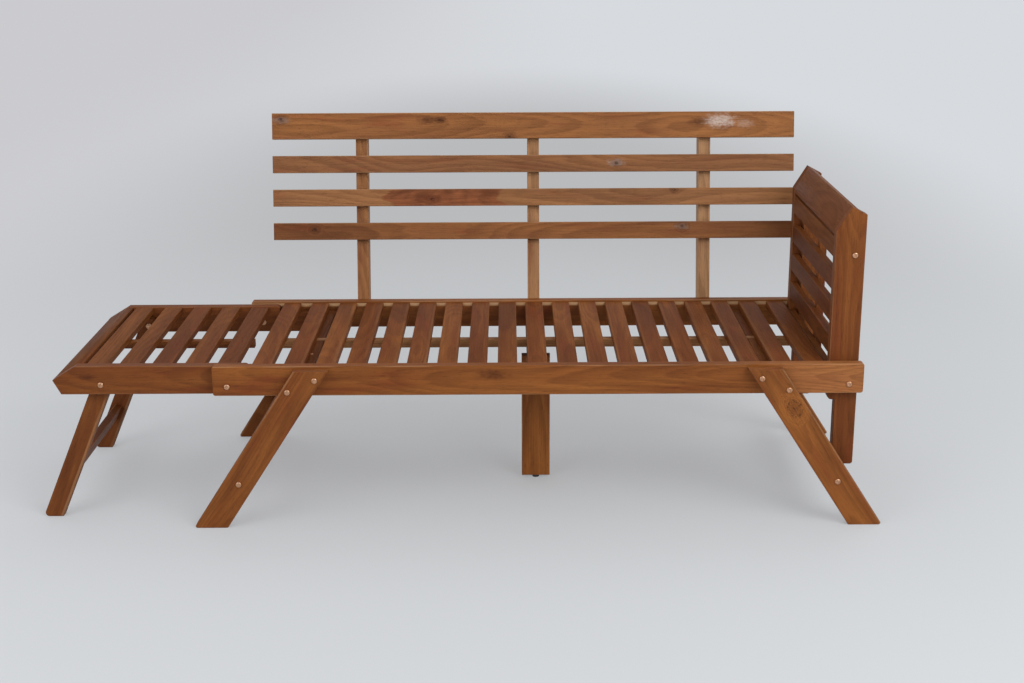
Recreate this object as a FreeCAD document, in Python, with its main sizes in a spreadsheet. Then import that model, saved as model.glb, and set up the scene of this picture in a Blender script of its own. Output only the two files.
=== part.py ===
import FreeCAD, Part
import math
import os
import Sketcher
from FreeCAD import Placement, Rotation, Vector

# A slatted wooden bench whose two end arms stand up as armrests or fold down, on legs of
# their own, to lengthen the seat. Millimetres; the origin is on the floor under the centre
# leg, +X runs along the bench, -Y is the front and +Z is up.

DIMENSIONS = [
    ("rail_length", 1320, "main rail, end to end"),
    ("rail_height", 62, "main rail, bottom to top"),
    ("rail_thickness", 22, "main rail, through its face"),
    ("rail_round", 5, "corner radius at a main rail's ends"),
    ("seat_depth", 530, "across the outer faces of the two main rails"),
    ("seat_height", 343, "floor to the top of the main rails"),
    ("edge_ease", 1.2, "small flat on every board's long edges"),
    ("tenon_length", 8, "how far a slat's tenon enters a rail"),
    ("tenon_inset", 5, "step from a board's edge to its tenon"),
    ("tenon_skin", 3, "step from a board's face to its tenon"),
    ("glue_gap", 0.1, "clearance round a tenon or lap"),
    ("slat_width", 40, "seat slat"),
    ("slat_thickness", 16, "seat slat"),
    ("slat_drop", 4, "main rail's top down to the slats' top"),
    ("end_slat_inset", 47.5, "arm pivot to the last seat slat's outer edge"),
    ("end_slat_pitch", 65.15, "spacing of the last seat slats at each end"),
    ("spine_width", 20, "lengthwise rail under the slats, across the bench"),
    ("spine_height", 18, "lengthwise rail under the slats"),
    ("spine_inset", 2, "last slat's outer edge to the lengthwise rail's end"),
    ("member_width", 36, "cross member near each end"),
    ("member_thickness", 18, "cross member near each end"),
    ("member_reach", 151.5, "arm pivot to the cross member's middle"),
    ("member_end_gap", 2, "cross member's end to the arm rail's tail beside it"),
    ("beam_drop", 8, "slats' underside down to the cross beam's top"),
    ("beam_lap", 5, "what the beam's half lap takes from each of its two pieces"),
    ("beam_width", 40, "cross beam over the centre leg"),
    ("beam_height", 29, "cross beam over the centre leg"),
    ("leg_lean", 32.9, "degrees that a main leg leans from the vertical"),
    ("leg_width", 70, "main leg, measured along the floor"),
    ("leg_thickness", 20, "main leg"),
    ("leg_foot_reach", 17, "rail's end to the middle of the foot"),
    ("foot_round", 4, "radius of a main leg's two foot corners"),
    ("leg_top_drop", 5.3, "main rail's top down to the leg's top"),
    ("leg_bolt_offset", 20, "rail bolts, either side of the leg's middle line"),
    ("upper_bolt_drop", 24.4, "main rail's top down to the inner rail bolt"),
    ("lower_bolt_rise", 13.2, "main rail's bottom up to the outer rail bolt"),
    ("stretcher_rise", 95.9, "floor to the middle of a main leg's stretcher"),
    ("stretcher_width", 34, "main leg's stretcher, along the leg"),
    ("stretcher_thickness", 16, "main leg's stretcher"),
    ("centre_leg_width", 62, "centre leg, along the bench"),
    ("centre_leg_thickness", 22, "centre leg"),
    ("centre_tenon", 18, "centre leg's tenon, up into the beam"),
    ("glide_diameter", 15, "nail-on glide under the centre leg"),
    ("glide_height", 6, "glide below the wood"),
    ("back_lean", 11.5, "degrees that the backrest leans back"),
    ("back_reach", 432.4, "along the back, rail's top to the top slat's edge"),
    ("back_length", 1211, "backrest slat, end to end"),
    ("back_slat_thickness", 18, "backrest slat"),
    ("back_slat_width", 39.5, "each lower backrest slat"),
    ("back_slat_gap", 38.2, "between backrest slats"),
    ("top_slat_width", 60, "top backrest slat"),
    ("upright_width", 27, "backrest upright, along the bench"),
    ("upright_depth", 45, "backrest upright, front to back"),
    ("upright_spacing", 400, "between neighbouring uprights"),
    ("upright_top_drop", 6, "top slat's edge down to an upright's end"),
    ("upright_bolt_spread", 30, "between the two bolts of an upright"),
    ("upright_bolt_bite", 12, "how far those bolts enter the back rail"),
    ("pivot_inset", 29, "main rail's end to the arm's pivot"),
    ("pivot_rise", 19, "main rail's bottom up to the arm's pivot"),
    ("arm_gap", 2, "between a main rail and an arm rail"),
    ("arm_rail_thickness", 22, "arm rail"),
    ("arm_rail_width", 60, "arm rail"),
    ("arm_outer", 22, "pivot to the arm rail's outer edge"),
    ("arm_reach", 360, "pivot to the arm rail's tip"),
    ("tip_height", 30, "arm rail's outer edge to its tip"),
    ("outer_cut", 16, "slanting cut on the outer side of the tip"),
    ("inner_cut", 49, "slanting cut on the seat side of the tip"),
    ("shoulder_reach", 41, "pivot back to the arm rail's shoulder"),
    ("shoulder_round", 9, "radius of that shoulder"),
    ("tail_reach", 182, "pivot back to the end of the arm rail's tail"),
    ("tail_gap", 0.2, "between the tail and the seat slats that stop it"),
    ("tail_round", 6, "radius of the tail's outer corner"),
    ("cap_thickness", 18, "cap board across the end of an arm"),
    ("cap_overhang", 4, "cap board past the tip of the arm rails"),
    ("arm_slat_width", 40, "arm slat"),
    ("arm_slat_thickness", 15, "arm slat"),
    ("arm_slat_drop", 1, "arm rail's edge down to the slats' face"),
    ("arm_slat_pitch", 67, "spacing of the arm slats"),
    ("first_arm_slat", 5.2, "pivot out to the first arm slat's middle"),
    ("arm_spine_height", 16, "lengthwise rail under the arm slats"),
    ("arm_spine_overhang", 1.5, "that rail past the first arm slat"),
    ("arm_leg_reach", 262, "arm pivot out to the arm leg's pivot"),
    ("arm_leg_width", 38, "arm leg"),
    ("arm_leg_thickness", 22, "arm leg"),
    ("arm_leg_headroom", 5, "folded arm leg to the arm slats over it"),
    ("arm_leg_gap", 0.5, "between an arm rail and an arm leg"),
    ("arm_leg_lean", 23.3, "degrees that an opened arm leg leans out"),
    ("arm_leg_stop_gap", 0.3, "opened leg's top end to the slat that stops it"),
    ("toe_round", 8, "radius of the arm leg's outer toe"),
    ("arm_stretcher_reach", 227, "arm leg's pivot to its stretcher"),
    ("arm_stretcher_offset", 1.5, "stretcher off the leg's middle line"),
    ("arm_stretcher_width", 36, "arm legs' stretcher, along the leg"),
    ("arm_stretcher_thickness", 16, "arm legs' stretcher"),
    ("bolt_diameter", 6, "fixed bolts"),
    ("bolt_length", 38, "fixed bolts, under the head"),
    ("pivot_diameter", 8, "bolts that arms and arm legs turn on"),
    ("head_diameter", 12, "bolt heads"),
    ("head_height", 3, "bolt heads"),
    ("head_slope", 2, "how far a bolt head's top is drawn in from its rim"),
    ("running_gap", 0.05, "round a bolt in its hole"),
    ("nut_width", 13, "hexagon nuts on the pivot bolts, across their flats"),
    ("nut_thickness", 3, "those nuts"),
    ("nut_sink", 0.25, "nut below the wood's face"),
    ("nut_clearance", 0.3, "round a nut or a sunk bolt head in its recess"),
]

BACK_UPRIGHTS = {"left_upright": -1, "centre_upright": 0, "right_upright": 1}
LOWER_BACK_SLATS = 3
SEAT_SLATS_PER_SIDE = 9
EVEN_SEAT_SLATS = 7
ARM_SLATS = 5
BOLT_FLATS = 10
NUT_FLATS = 6
FRONT = -1
BACK = 1

HALF_DEPTH = "(dim.seat_depth / 2)"
INNER_Y = "(dim.seat_depth / 2 - dim.rail_thickness)"
RAIL_BOTTOM = "(dim.seat_height - dim.rail_height)"
SLAT_UNDER = "(dim.seat_height - dim.slat_drop - dim.slat_thickness)"
PIVOT_X = "(dim.rail_length / 2 - dim.pivot_inset)"
PIVOT_Z = f"({RAIL_BOTTOM} + dim.pivot_rise)"
MEMBER_X = f"({PIVOT_X} - dim.member_reach)"
MEMBER_LAP = f"({SLAT_UNDER} - dim.member_thickness / 2)"
BEAM_TOP = f"({SLAT_UNDER} - dim.beam_drop)"
BEAM_LAP = f"({BEAM_TOP} - dim.beam_lap)"
BEAM_BOTTOM = f"({BEAM_TOP} - dim.beam_height)"
LEG_FOOT_X = "(dim.rail_length / 2 + dim.leg_foot_reach)"
LEG_TOP_Z = "(dim.seat_height - dim.leg_top_drop)"
ARM_Y = f"({INNER_Y} - dim.arm_gap - dim.arm_rail_thickness / 2)"
ARM_INNER_Y = f"({INNER_Y} - dim.arm_gap - dim.arm_rail_thickness)"
ARM_LEG_Y = f"({ARM_INNER_Y} - dim.arm_leg_gap - dim.arm_leg_thickness / 2)"
ARM_LEG_INNER_Y = f"({ARM_LEG_Y} - dim.arm_leg_thickness / 2)"

# In an arm, x runs from its pivot out along the arm and z from the pivot to the seat side.
ARM_SEAT_EDGE = "(dim.arm_rail_width - dim.arm_outer)"
ARM_SLAT_FACE = f"({ARM_SEAT_EDGE} - dim.arm_slat_drop)"
ARM_SLAT_UNDER = f"({ARM_SLAT_FACE} - dim.arm_slat_thickness)"
ARM_LEG_PIVOT_Z = f"({ARM_SLAT_UNDER} - dim.arm_leg_headroom - dim.arm_leg_width / 2)"
CAP_FALL = "(dim.arm_rail_width - dim.tip_height)"
CAP_SLOPE = f"sqrt(dim.inner_cut ^ 2 + {CAP_FALL} ^ 2)"
CAP_COS = f"(dim.inner_cut / {CAP_SLOPE})"
CAP_SIN = f"({CAP_FALL} / {CAP_SLOPE})"
CAP_ROOT_X = "(dim.arm_reach - dim.inner_cut)"
PIVOT_HOLE = "(dim.pivot_diameter / 2 + dim.running_gap)"
BOLT_HOLE = "(dim.bolt_diameter / 2 + dim.running_gap)"
NUT_CORNER = "(dim.nut_width / sqrt(3))"
NUT_RECESS = f"({NUT_CORNER} + dim.nut_clearance)"
NUT_RECESS_DEPTH = "(dim.nut_thickness + 2 * dim.nut_sink)"

doc = FreeCAD.newDocument("convertible_bench")
sheet = doc.addObject("Spreadsheet::Sheet", "dim")
nodes = []


def fill_sheet():
    for row, (alias, size, note) in enumerate(DIMENSIONS, 1):
        sheet.set(f"A{row}", alias)
        sheet.set(f"B{row}", str(size))
        sheet.setAlias(f"B{row}", alias)
        sheet.set(f"C{row}", note)
    doc.recompute()


def value(formula):
    return float(sheet.evalExpression(str(formula)))


def place(item, base, rotation=Rotation()):
    """Put an object at base, three formulas, turned by rotation."""
    item.Placement = Placement(Vector(*[value(part) for part in base]), rotation)
    for axis, part in zip("xyz", base):
        item.setExpression(f"Placement.Base.{axis}", str(part))


def keep(item, node):
    """Name the object and list it as one of the bench's sub-parts."""
    item.Label = node
    nodes.append(item)
    return item


def new_sketch(body, name, plane="XZ_Plane", offset="0", turn=Rotation()):
    """A sketch on one of the body's own planes, moved by offset along the plane's normal."""
    support = [item for item in body.Origin.OriginFeatures if item.Role == plane][0]
    sketch = body.newObject("Sketcher::SketchObject", f"{body.Name}_{name}")
    sketch.AttachmentSupport = (support, [""])
    sketch.MapMode = "FlatFace"
    sketch.AttachmentOffset = Placement(Vector(0, 0, value(offset)), turn)
    sketch.setExpression("AttachmentOffset.Base.z", str(offset))
    return sketch


def hold_point(sketch, edge, end, across, up):
    """Fix one end of an edge, or a circle's centre, from the sketch's origin."""
    for kind, formula in (("DistanceX", across), ("DistanceY", up)):
        constraint = Sketcher.Constraint(kind, -1, 1, edge, end, value(formula))
        index = sketch.addConstraint(constraint)
        sketch.setExpression(f"Constraints[{index}]", str(formula))


def draw_outline(sketch, corners):
    """A closed outline of straight edges through corners, pairs of formulas."""
    first = sketch.GeometryCount
    points = [Vector(value(across), value(up), 0) for across, up in corners]
    for start, end in zip(points, points[1:] + points[:1]):
        sketch.addGeometry(Part.LineSegment(start, end))
    for index, (across, up) in enumerate(corners):
        following = first + (index + 1) % len(corners)
        sketch.addConstraint(Sketcher.Constraint("Coincident", first + index, 2, following, 1))
        hold_point(sketch, first + index, 1, across, up)
    return sketch


def draw_rectangle(sketch, left, low, right, high):
    return draw_outline(sketch, [(left, low), (right, low), (right, high), (left, high)])


def draw_circle(sketch, across, up, radius):
    centre = Vector(value(across), value(up), 0)
    edge = sketch.addGeometry(Part.Circle(centre, Vector(0, 0, 1), value(radius)))
    hold_point(sketch, edge, 3, across, up)
    index = sketch.addConstraint(Sketcher.Constraint("Radius", edge, value(radius)))
    sketch.setExpression(f"Constraints[{index}]", str(radius))
    return sketch


def draw_flats(sketch, across, up, corner, sides, turn="0"):
    """A regular polygon; corner is its corners' radius and turn the angle of the first one."""
    angles = [f"({turn} + {360 * step / sides})" for step in range(sides)]
    return draw_outline(sketch, [(f"{across} + {corner} * cos({angle})",
                                  f"{up} + {corner} * sin({angle})") for angle in angles])


def draw_bolt_hole(sketch, across, up, turn="0"):
    """The hole for a fixed bolt, whose shank and head are drawn with twelve flats."""
    draw_flats(sketch, across, up, BOLT_HOLE, BOLT_FLATS, turn)


def pad(body, sketch, length, side="Symmetric", reverse=False):
    feature = body.newObject("PartDesign::Pad", f"{sketch.Name}_pad")
    feature.Profile = sketch
    feature.SideType = side
    feature.Reversed = reverse
    feature.setExpression("Length", str(length))
    doc.recompute()
    return feature


def cut(body, sketch, depth, reverse=False, side="One side"):
    """Pocket the sketch; one side cuts against the sketch's normal unless reversed."""
    before = body.Shape.Volume
    feature = body.newObject("PartDesign::Pocket", f"{sketch.Name}_cut")
    feature.Profile = sketch
    feature.SideType = side
    feature.Reversed = reverse
    feature.setExpression("Length", str(depth))
    doc.recompute()
    if not body.Shape.Volume < before:
        raise ValueError(f"{sketch.Name} cuts nothing")
    return feature


def faces_facing(shape, direction):
    """Names of the flat faces whose normal runs along direction, either way."""
    found = []
    for index, face in enumerate(shape.Faces, 1):
        if abs(abs(face.normalAt(0, 0).dot(direction)) - 1) < 1e-6:
            found.append(f"Face{index}")
    return found


def edge_through(shape, across, up):
    """Name of the edge that runs front to back through this place."""
    for index, edge in enumerate(shape.Edges, 1):
        start, end = edge.Vertexes[0].Point, edge.Vertexes[-1].Point
        level = abs(start.x - end.x) < 1e-6 and abs(start.z - end.z) < 1e-6
        if level and math.hypot(start.x - value(across), start.z - value(up)) < 1e-4:
            return f"Edge{index}"
    raise ValueError(f"no edge at {across}, {up}")


def round_corners(body, base, places, radius):
    """Round the corners of an outline before its faces are eased."""
    feature = body.newObject("PartDesign::Fillet", f"{base.Name}_round")
    feature.Base = (base, [edge_through(base.Shape, *place_on) for place_on in places])
    feature.setExpression("Radius", radius)
    doc.recompute()
    return feature


def ease_faces(body, base, direction=Vector(0, 1, 0)):
    """Take the sharpness off every edge of the board's two broad faces."""
    feature = body.newObject("PartDesign::Chamfer", f"{base.Name}_ease")
    feature.Base = (base, faces_facing(base.Shape, direction))
    feature.setExpression("Size", "dim.edge_ease")
    doc.recompute()
    return feature


def side_board(name, corners, thickness, rounds=(), side="Symmetric", plane="XZ_Plane"):
    """A board cut to an outline seen from its broad side, with eased edges."""
    body = doc.addObject("PartDesign::Body", name)
    feature = pad(body, draw_outline(new_sketch(body, "outline", plane), corners), thickness, side)
    for places, radius in rounds:
        feature = round_corners(body, feature, places, radius)
    ease_faces(body, feature, Vector(0, 1, 0) if plane == "XZ_Plane" else Vector(1, 0, 0))
    return body


def section_corners(left, low, right, high):
    """A board's section with its four long edges eased."""
    ease = "dim.edge_ease"
    return [(f"{left} + {ease}", low), (f"{right} - {ease}", low), (right, f"{low} + {ease}"),
            (right, f"{high} - {ease}"), (f"{right} - {ease}", high), (f"{left} + {ease}", high),
            (left, f"{high} - {ease}"), (left, f"{low} + {ease}")]


def lath(name, section, span, tenon=None):
    """A board that runs front to back, with a stub tenon on each end where it has one."""
    body = doc.addObject("PartDesign::Body", name)
    pad(body, draw_outline(new_sketch(body, "section"), section_corners(*section)), span)
    if tenon:
        sketch = draw_rectangle(new_sketch(body, "tenon"), *tenon)
        pad(body, sketch, f"{span} + 2 * dim.tenon_length")
    return body


def centred(width, thickness):
    """Section and tenon of a lath drawn about its own middle."""
    section = (f"-{width} / 2", f"-{thickness} / 2", f"{width} / 2", f"{thickness} / 2")
    half = f"({width} / 2 - dim.tenon_inset)"
    deep = f"({thickness} / 2 - dim.tenon_skin)"
    return section, (f"-{half}", f"-{deep}", half, deep)


def mortise(sketch, across, up, width, thickness):
    """The opening for the tenon of a centred lath whose middle is at across, up."""
    half = f"({width} / 2 - dim.tenon_inset + dim.glue_gap)"
    deep = f"({thickness} / 2 - dim.tenon_skin + dim.glue_gap)"
    draw_rectangle(sketch, f"{across} - {half}", f"{up} - {deep}", f"{across} + {half}",
                   f"{up} + {deep}")


def face_sketch(body, name, thickness, inward):
    """A sketch on a board's face that looks towards inward, +Y or -Y."""
    return new_sketch(body, name, offset=f"-({inward}) * {thickness} / 2")


def cut_from_face(body, sketch, depth, inward):
    """Cut into the board from the face that looks towards inward."""
    return cut(body, sketch, depth, reverse=inward > 0)


def cut_through(body, sketch, thickness):
    return cut(body, sketch, f"2 * {thickness}", side="Symmetric")


def seat_slat_x(number):
    """Middle of a seat slat, counted from the centre one; end slats have their own spacing."""
    last = f"({PIVOT_X} - dim.end_slat_inset - dim.slat_width / 2)"
    if number > EVEN_SEAT_SLATS:
        return f"({last} - {SEAT_SLATS_PER_SIDE - number} * dim.end_slat_pitch)"
    even = f"({last} - {SEAT_SLATS_PER_SIDE - EVEN_SEAT_SLATS} * dim.end_slat_pitch)"
    return f"({number} * {even} / {EVEN_SEAT_SLATS})"


SLAT_Z = f"({SLAT_UNDER} + dim.slat_thickness / 2)"
MEMBER_Z = f"({SLAT_UNDER} - dim.member_thickness / 2)"
MEMBER_LENGTH = f"(2 * ({ARM_INNER_Y} - dim.member_end_gap))"
BEAM_Z = f"({BEAM_TOP} - dim.beam_height / 2)"
UPPER_BOLT_Z = "(dim.seat_height - dim.upper_bolt_drop)"
LOWER_BOLT_Z = f"({RAIL_BOTTOM} + dim.lower_bolt_rise)"


def leg_x(height):
    """Middle of the right-hand main legs at a height."""
    return f"({LEG_FOOT_X} - {height} * tan(dim.leg_lean))"


RAIL_BOLTS = [(f"({leg_x(UPPER_BOLT_Z)} - dim.leg_bolt_offset)", UPPER_BOLT_Z),
              (f"({leg_x(LOWER_BOLT_Z)} + dim.leg_bolt_offset)", LOWER_BOLT_Z)]
STRETCHER_BOLT = (leg_x("dim.stretcher_rise"), "dim.stretcher_rise")
LEG_BOLT_BORE = "dim.bolt_length - dim.leg_thickness + dim.running_gap"
UPRIGHT_BOLT_HEIGHTS = [f"({RAIL_BOTTOM} + dim.rail_height / 2 {sign} dim.upright_bolt_spread / 2)"
                        for sign in "-+"]


def main_rail(node, side):
    """A main rail: mortises in its inner face, pivot holes near its ends, blind bolt holes."""
    half = "dim.rail_length / 2"
    corners = [(f"-{half}", RAIL_BOTTOM), (half, RAIL_BOTTOM), (half, "dim.seat_height"),
               (f"-{half}", "dim.seat_height")]
    rail = side_board(node, corners, "dim.rail_thickness", [(corners, "dim.rail_round")])
    mortises = face_sketch(rail, "mortises", "dim.rail_thickness", BACK)
    mortise(mortises, "0", SLAT_Z, "dim.slat_width", "dim.slat_thickness")
    mortise(mortises, "0", BEAM_Z, "dim.beam_width", "dim.beam_height")
    pivots = new_sketch(rail, "pivot_holes")
    leg_bolts = face_sketch(rail, "leg_bolts", "dim.rail_thickness", FRONT)
    for end in ("-", ""):
        for number in range(1, SEAT_SLATS_PER_SIDE + 1):
            mortise(mortises, f"{end}{seat_slat_x(number)}", SLAT_Z, "dim.slat_width",
                    "dim.slat_thickness")
        draw_circle(pivots, f"{end}{PIVOT_X}", PIVOT_Z, PIVOT_HOLE)
        for across, up in RAIL_BOLTS:
            draw_bolt_hole(leg_bolts, f"{end}{across}", up)
    cut_from_face(rail, mortises, "dim.tenon_length + dim.glue_gap", BACK)
    cut_through(rail, pivots, "dim.rail_thickness")
    cut_from_face(rail, leg_bolts, LEG_BOLT_BORE, FRONT)
    if side == BACK:
        upright_bolts = face_sketch(rail, "upright_bolts", "dim.rail_thickness", FRONT)
        for place_along in BACK_UPRIGHTS.values():
            for height in UPRIGHT_BOLT_HEIGHTS:
                draw_bolt_hole(upright_bolts, f"{place_along} * dim.upright_spacing", height)
        cut_from_face(rail, upright_bolts, "dim.upright_bolt_bite + dim.running_gap", FRONT)
    turned = Rotation(Vector(0, 0, 1), 0 if side == FRONT else 180)
    place(rail, ("0", f"{side} * ({HALF_DEPTH} - dim.rail_thickness / 2)", "0"), turned)
    keep(rail, node)


def seat_slat(name, across):
    section, tenon = centred("dim.slat_width", "dim.slat_thickness")
    slat = lath(name, section, f"2 * {INNER_Y}", tenon)
    place(slat, (across, "0", SLAT_Z))
    return slat


def group(node, members):
    """Several like pieces that share one node."""
    compound = doc.addObject("Part::Compound", node)
    compound.Links = members
    return keep(compound, node)


def seat_slats():
    """The centre slat, then each side's slats in neighbouring pairs with the last one alone."""
    keep(seat_slat("seat_slat_centre", "0"), "seat_slat_centre")
    for side, sign in (("left", "-"), ("right", "")):
        slats = [seat_slat(f"{side}_slat_{number}", f"{sign}{seat_slat_x(number)}")
                 for number in range(1, SEAT_SLATS_PER_SIDE + 1)]
        for first in range(0, SEAT_SLATS_PER_SIDE - 1, 2):
            group(f"seat_slats_{side}_{first + 1}_{first + 2}", slats[first:first + 2])
        keep(slats[-1], f"seat_slat_{side}_{SEAT_SLATS_PER_SIDE}")


def spine():
    """The lengthwise rail under the slats, half lapped over the cross members and beam."""
    end = f"({PIVOT_X} - dim.end_slat_inset - dim.spine_inset)"
    low = f"({SLAT_UNDER} - dim.spine_height)"
    corners = [(f"-{end}", low), (end, low), (end, SLAT_UNDER), (f"-{end}", SLAT_UNDER)]
    rail = side_board("centre_rail", corners, "dim.spine_width")
    laps = new_sketch(rail, "laps")
    for middle, width, lap in ((f"-{MEMBER_X}", "dim.member_width", MEMBER_LAP),
                               ("0", "dim.beam_width", BEAM_LAP),
                               (MEMBER_X, "dim.member_width", MEMBER_LAP)):
        reach = f"({width} / 2 + dim.glue_gap)"
        draw_rectangle(laps, f"{middle} - {reach}", f"{low} - 1", f"{middle} + {reach}", lap)
    cut_through(rail, laps, "dim.spine_width")
    keep(rail, "centre_rail")


def cut_lap(member, width, height, middle, lap_height):
    """Cut a lap in the top of a cross piece, for the lengthwise rail."""
    lap = new_sketch(member, "lap", "YZ_Plane")
    reach = "(dim.spine_width / 2 + dim.glue_gap)"
    draw_rectangle(lap, f"-{reach}", f"{lap_height} - {middle}", reach, f"{height} / 2 + 1")
    cut_through(member, lap, width)


def cross_member(node, across):
    """A batten against the slats' underside that ends beside the tails of the arm rails."""
    section, _ = centred("dim.member_width", "dim.member_thickness")
    member = lath(node, section, MEMBER_LENGTH)
    cut_lap(member, "dim.member_width", "dim.member_thickness", MEMBER_Z, MEMBER_LAP)
    place(member, (across, "0", MEMBER_Z))
    keep(member, node)


def centre_beam():
    """The cross beam, tenoned into both rails, with a mortise below for the centre leg."""
    section, tenon = centred("dim.beam_width", "dim.beam_height")
    beam = lath("centre_beam", section, f"2 * {INNER_Y}", tenon)
    cut_lap(beam, "dim.beam_width", "dim.beam_height", BEAM_Z, BEAM_LAP)
    sketch = new_sketch(beam, "leg_mortise", "XY_Plane", "-dim.beam_height / 2")
    half = "(dim.centre_leg_width / 4 + dim.glue_gap)"
    deep = "(dim.centre_leg_thickness / 2 - dim.tenon_skin + dim.glue_gap)"
    draw_rectangle(sketch, f"-{half}", f"-{deep}", half, deep)
    cut(beam, sketch, "dim.centre_tenon + dim.glue_gap", reverse=True)
    place(beam, ("0", "0", BEAM_Z))
    keep(beam, "centre_beam")


def centre_leg():
    """A straight board with a stub tenon on top and a glide under it."""
    half = "dim.centre_leg_width / 2"
    corners = [(f"-{half}", "dim.glide_height"), (half, "dim.glide_height"), (half, BEAM_BOTTOM),
               (f"-{half}", BEAM_BOTTOM)]
    leg = side_board("centre_leg", corners, "dim.centre_leg_thickness")
    tenon = new_sketch(leg, "tenon", "XY_Plane", f"{BEAM_BOTTOM} - 1")
    half = "dim.centre_leg_width / 4"
    deep = "(dim.centre_leg_thickness / 2 - dim.tenon_skin)"
    draw_rectangle(tenon, f"-{half}", f"-{deep}", half, deep)
    pad(leg, tenon, "dim.centre_tenon + 1", "One side")
    keep(leg, "centre_leg")


def centre_glide():
    """A round glide that stands on the floor."""
    glide = doc.addObject("PartDesign::Body", "centre_glide")
    outline = new_sketch(glide, "outline", "XY_Plane")
    pad(glide, draw_circle(outline, "0", "0", "dim.glide_diameter / 2"), "dim.glide_height",
        "One side")
    keep(glide, "centre_glide")


def main_leg(node, end, side):
    """A slanting leg board bolted to a rail's outer face, level at its foot and top."""
    half = "dim.leg_width / 2"
    top = leg_x(LEG_TOP_Z)
    corners = [(f"{LEG_FOOT_X} - {half}", "0"), (f"{LEG_FOOT_X} + {half}", "0"),
               (f"{top} + {half}", LEG_TOP_Z), (f"{top} - {half}", LEG_TOP_Z)]
    leg = side_board(node, corners, "dim.leg_thickness", [(corners[:2], "dim.foot_round")])
    holes = new_sketch(leg, "holes")
    for across, up in RAIL_BOLTS + [STRETCHER_BOLT]:
        draw_bolt_hole(holes, across, up)
    cut_through(leg, holes, "dim.leg_thickness")
    turned = Rotation(Vector(0, 0, 1), 0 if end > 0 else 180)
    place(leg, ("0", f"{side} * ({HALF_DEPTH} + dim.leg_thickness / 2)", "0"), turned)
    keep(leg, node)


def leg_stretcher(node, sign):
    """The bar between a front leg and a back leg, bored for a bolt in each end."""
    section, _ = centred("dim.stretcher_thickness", "dim.stretcher_width")
    bar = lath(node, section, "dim.seat_depth")
    lean = "dim.leg_lean" if sign else "-dim.leg_lean"
    for name, end in (("front_bore", FRONT), ("back_bore", BACK)):
        bore = face_sketch(bar, name, "dim.seat_depth", end)
        draw_bolt_hole(bore, "0", "0", lean)
        cut_from_face(bar, bore, LEG_BOLT_BORE, end)
    across, up = STRETCHER_BOLT
    place(bar, (f"{sign}{across}", "0", up), Rotation(Vector(0, 1, 0), value(lean)))
    keep(bar, node)


BACK_COS = "cos(dim.back_lean)"
BACK_SIN = "sin(dim.back_lean)"
COUNTERBORE_Y = f"({HALF_DEPTH} + dim.bolt_length - dim.upright_bolt_bite)"


def back_slat_range(number):
    """Lower and upper edge of a backrest slat, measured up the back from the rail's top."""
    if number == 0:
        return "(dim.back_reach - dim.top_slat_width)", "dim.back_reach"
    step = f"{number - 1} * (dim.back_slat_gap + dim.back_slat_width)"
    high = f"(dim.back_reach - dim.top_slat_width - dim.back_slat_gap - {step})"
    return f"({high} - dim.back_slat_width)", high


def on_back(along, behind="0"):
    """Y and Z of a place up the back, and behind the uprights' front face."""
    return (f"{HALF_DEPTH} + {along} * {BACK_SIN} + {behind} * {BACK_COS}",
            f"dim.seat_height + {along} * {BACK_COS} - {behind} * {BACK_SIN}")


def back_slat(node, number):
    """A backrest slat on the uprights' front faces."""
    low, high = back_slat_range(number)
    half = "dim.back_length / 2"
    corners = [(f"-{half}", low), (half, low), (half, high), (f"-{half}", high)]
    slat = side_board(node, corners, "dim.back_slat_thickness", side="One side")
    leaning = Rotation(Vector(1, 0, 0), -value("dim.back_lean"))
    place(slat, ("0", HALF_DEPTH, "dim.seat_height"), leaning)
    keep(slat, node)


def upright(node, place_along):
    """A leaning post, cut upright below where it is bolted to the back rail."""
    top = "(dim.back_reach - dim.upright_top_drop)"
    rear_low = (f"{HALF_DEPTH} + dim.upright_depth / {BACK_COS}"
                f" - dim.rail_height * tan(dim.back_lean)")
    corners = [(HALF_DEPTH, RAIL_BOTTOM), (rear_low, RAIL_BOTTOM),
               on_back(top, "dim.upright_depth"), on_back(top), (HALF_DEPTH, "dim.seat_height")]
    post = side_board(node, corners, "dim.upright_width", plane="YZ_Plane")
    bolts = new_sketch(post, "bolts", offset=f"-{COUNTERBORE_Y}")
    heads = new_sketch(post, "heads", offset=f"-{COUNTERBORE_Y}")
    for height in UPRIGHT_BOLT_HEIGHTS:
        draw_bolt_hole(bolts, "0", height)
        draw_flats(heads, "0", height, "(dim.head_diameter / 2 + dim.nut_clearance)", BOLT_FLATS)
    cut_through(post, bolts, "dim.upright_depth")
    cut(post, heads, "dim.upright_depth")
    place(post, (f"{place_along} * dim.upright_spacing", "0", "0"))
    keep(post, node)


class Arm:
    """Where an arm's pieces go: the left arm lies flat, the right one stands up."""

    def __init__(self, side):
        self.side = side
        self.flat = side == "left"
        leg_angle = 270 + value("dim.arm_leg_lean") if self.flat else 180
        outward = Rotation(Vector(0, 0, 1), 180 if self.flat else 0)
        self.roll = Rotation(Vector(0, 1, 0), 0 if self.flat else -90)
        self.turn = self.roll.multiply(outward)
        self.leg_turn = self.turn.multiply(Rotation(Vector(0, 1, 0), -leg_angle))
        self.leg_roll = self.leg_turn.multiply(outward)

    def base(self, out="0", seatward="0", y="0"):
        """The bench's coordinates of a place in the arm."""
        if self.flat:
            return (f"-({PIVOT_X} + {out})", y, f"{PIVOT_Z} + {seatward}")
        return (f"{PIVOT_X} - ({seatward})", y, f"{PIVOT_Z} + {out}")

    def local_inward(self, side):
        """Which way the middle of the bench lies, seen in a front or back piece's own frame."""
        return side if self.flat else -side


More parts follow.
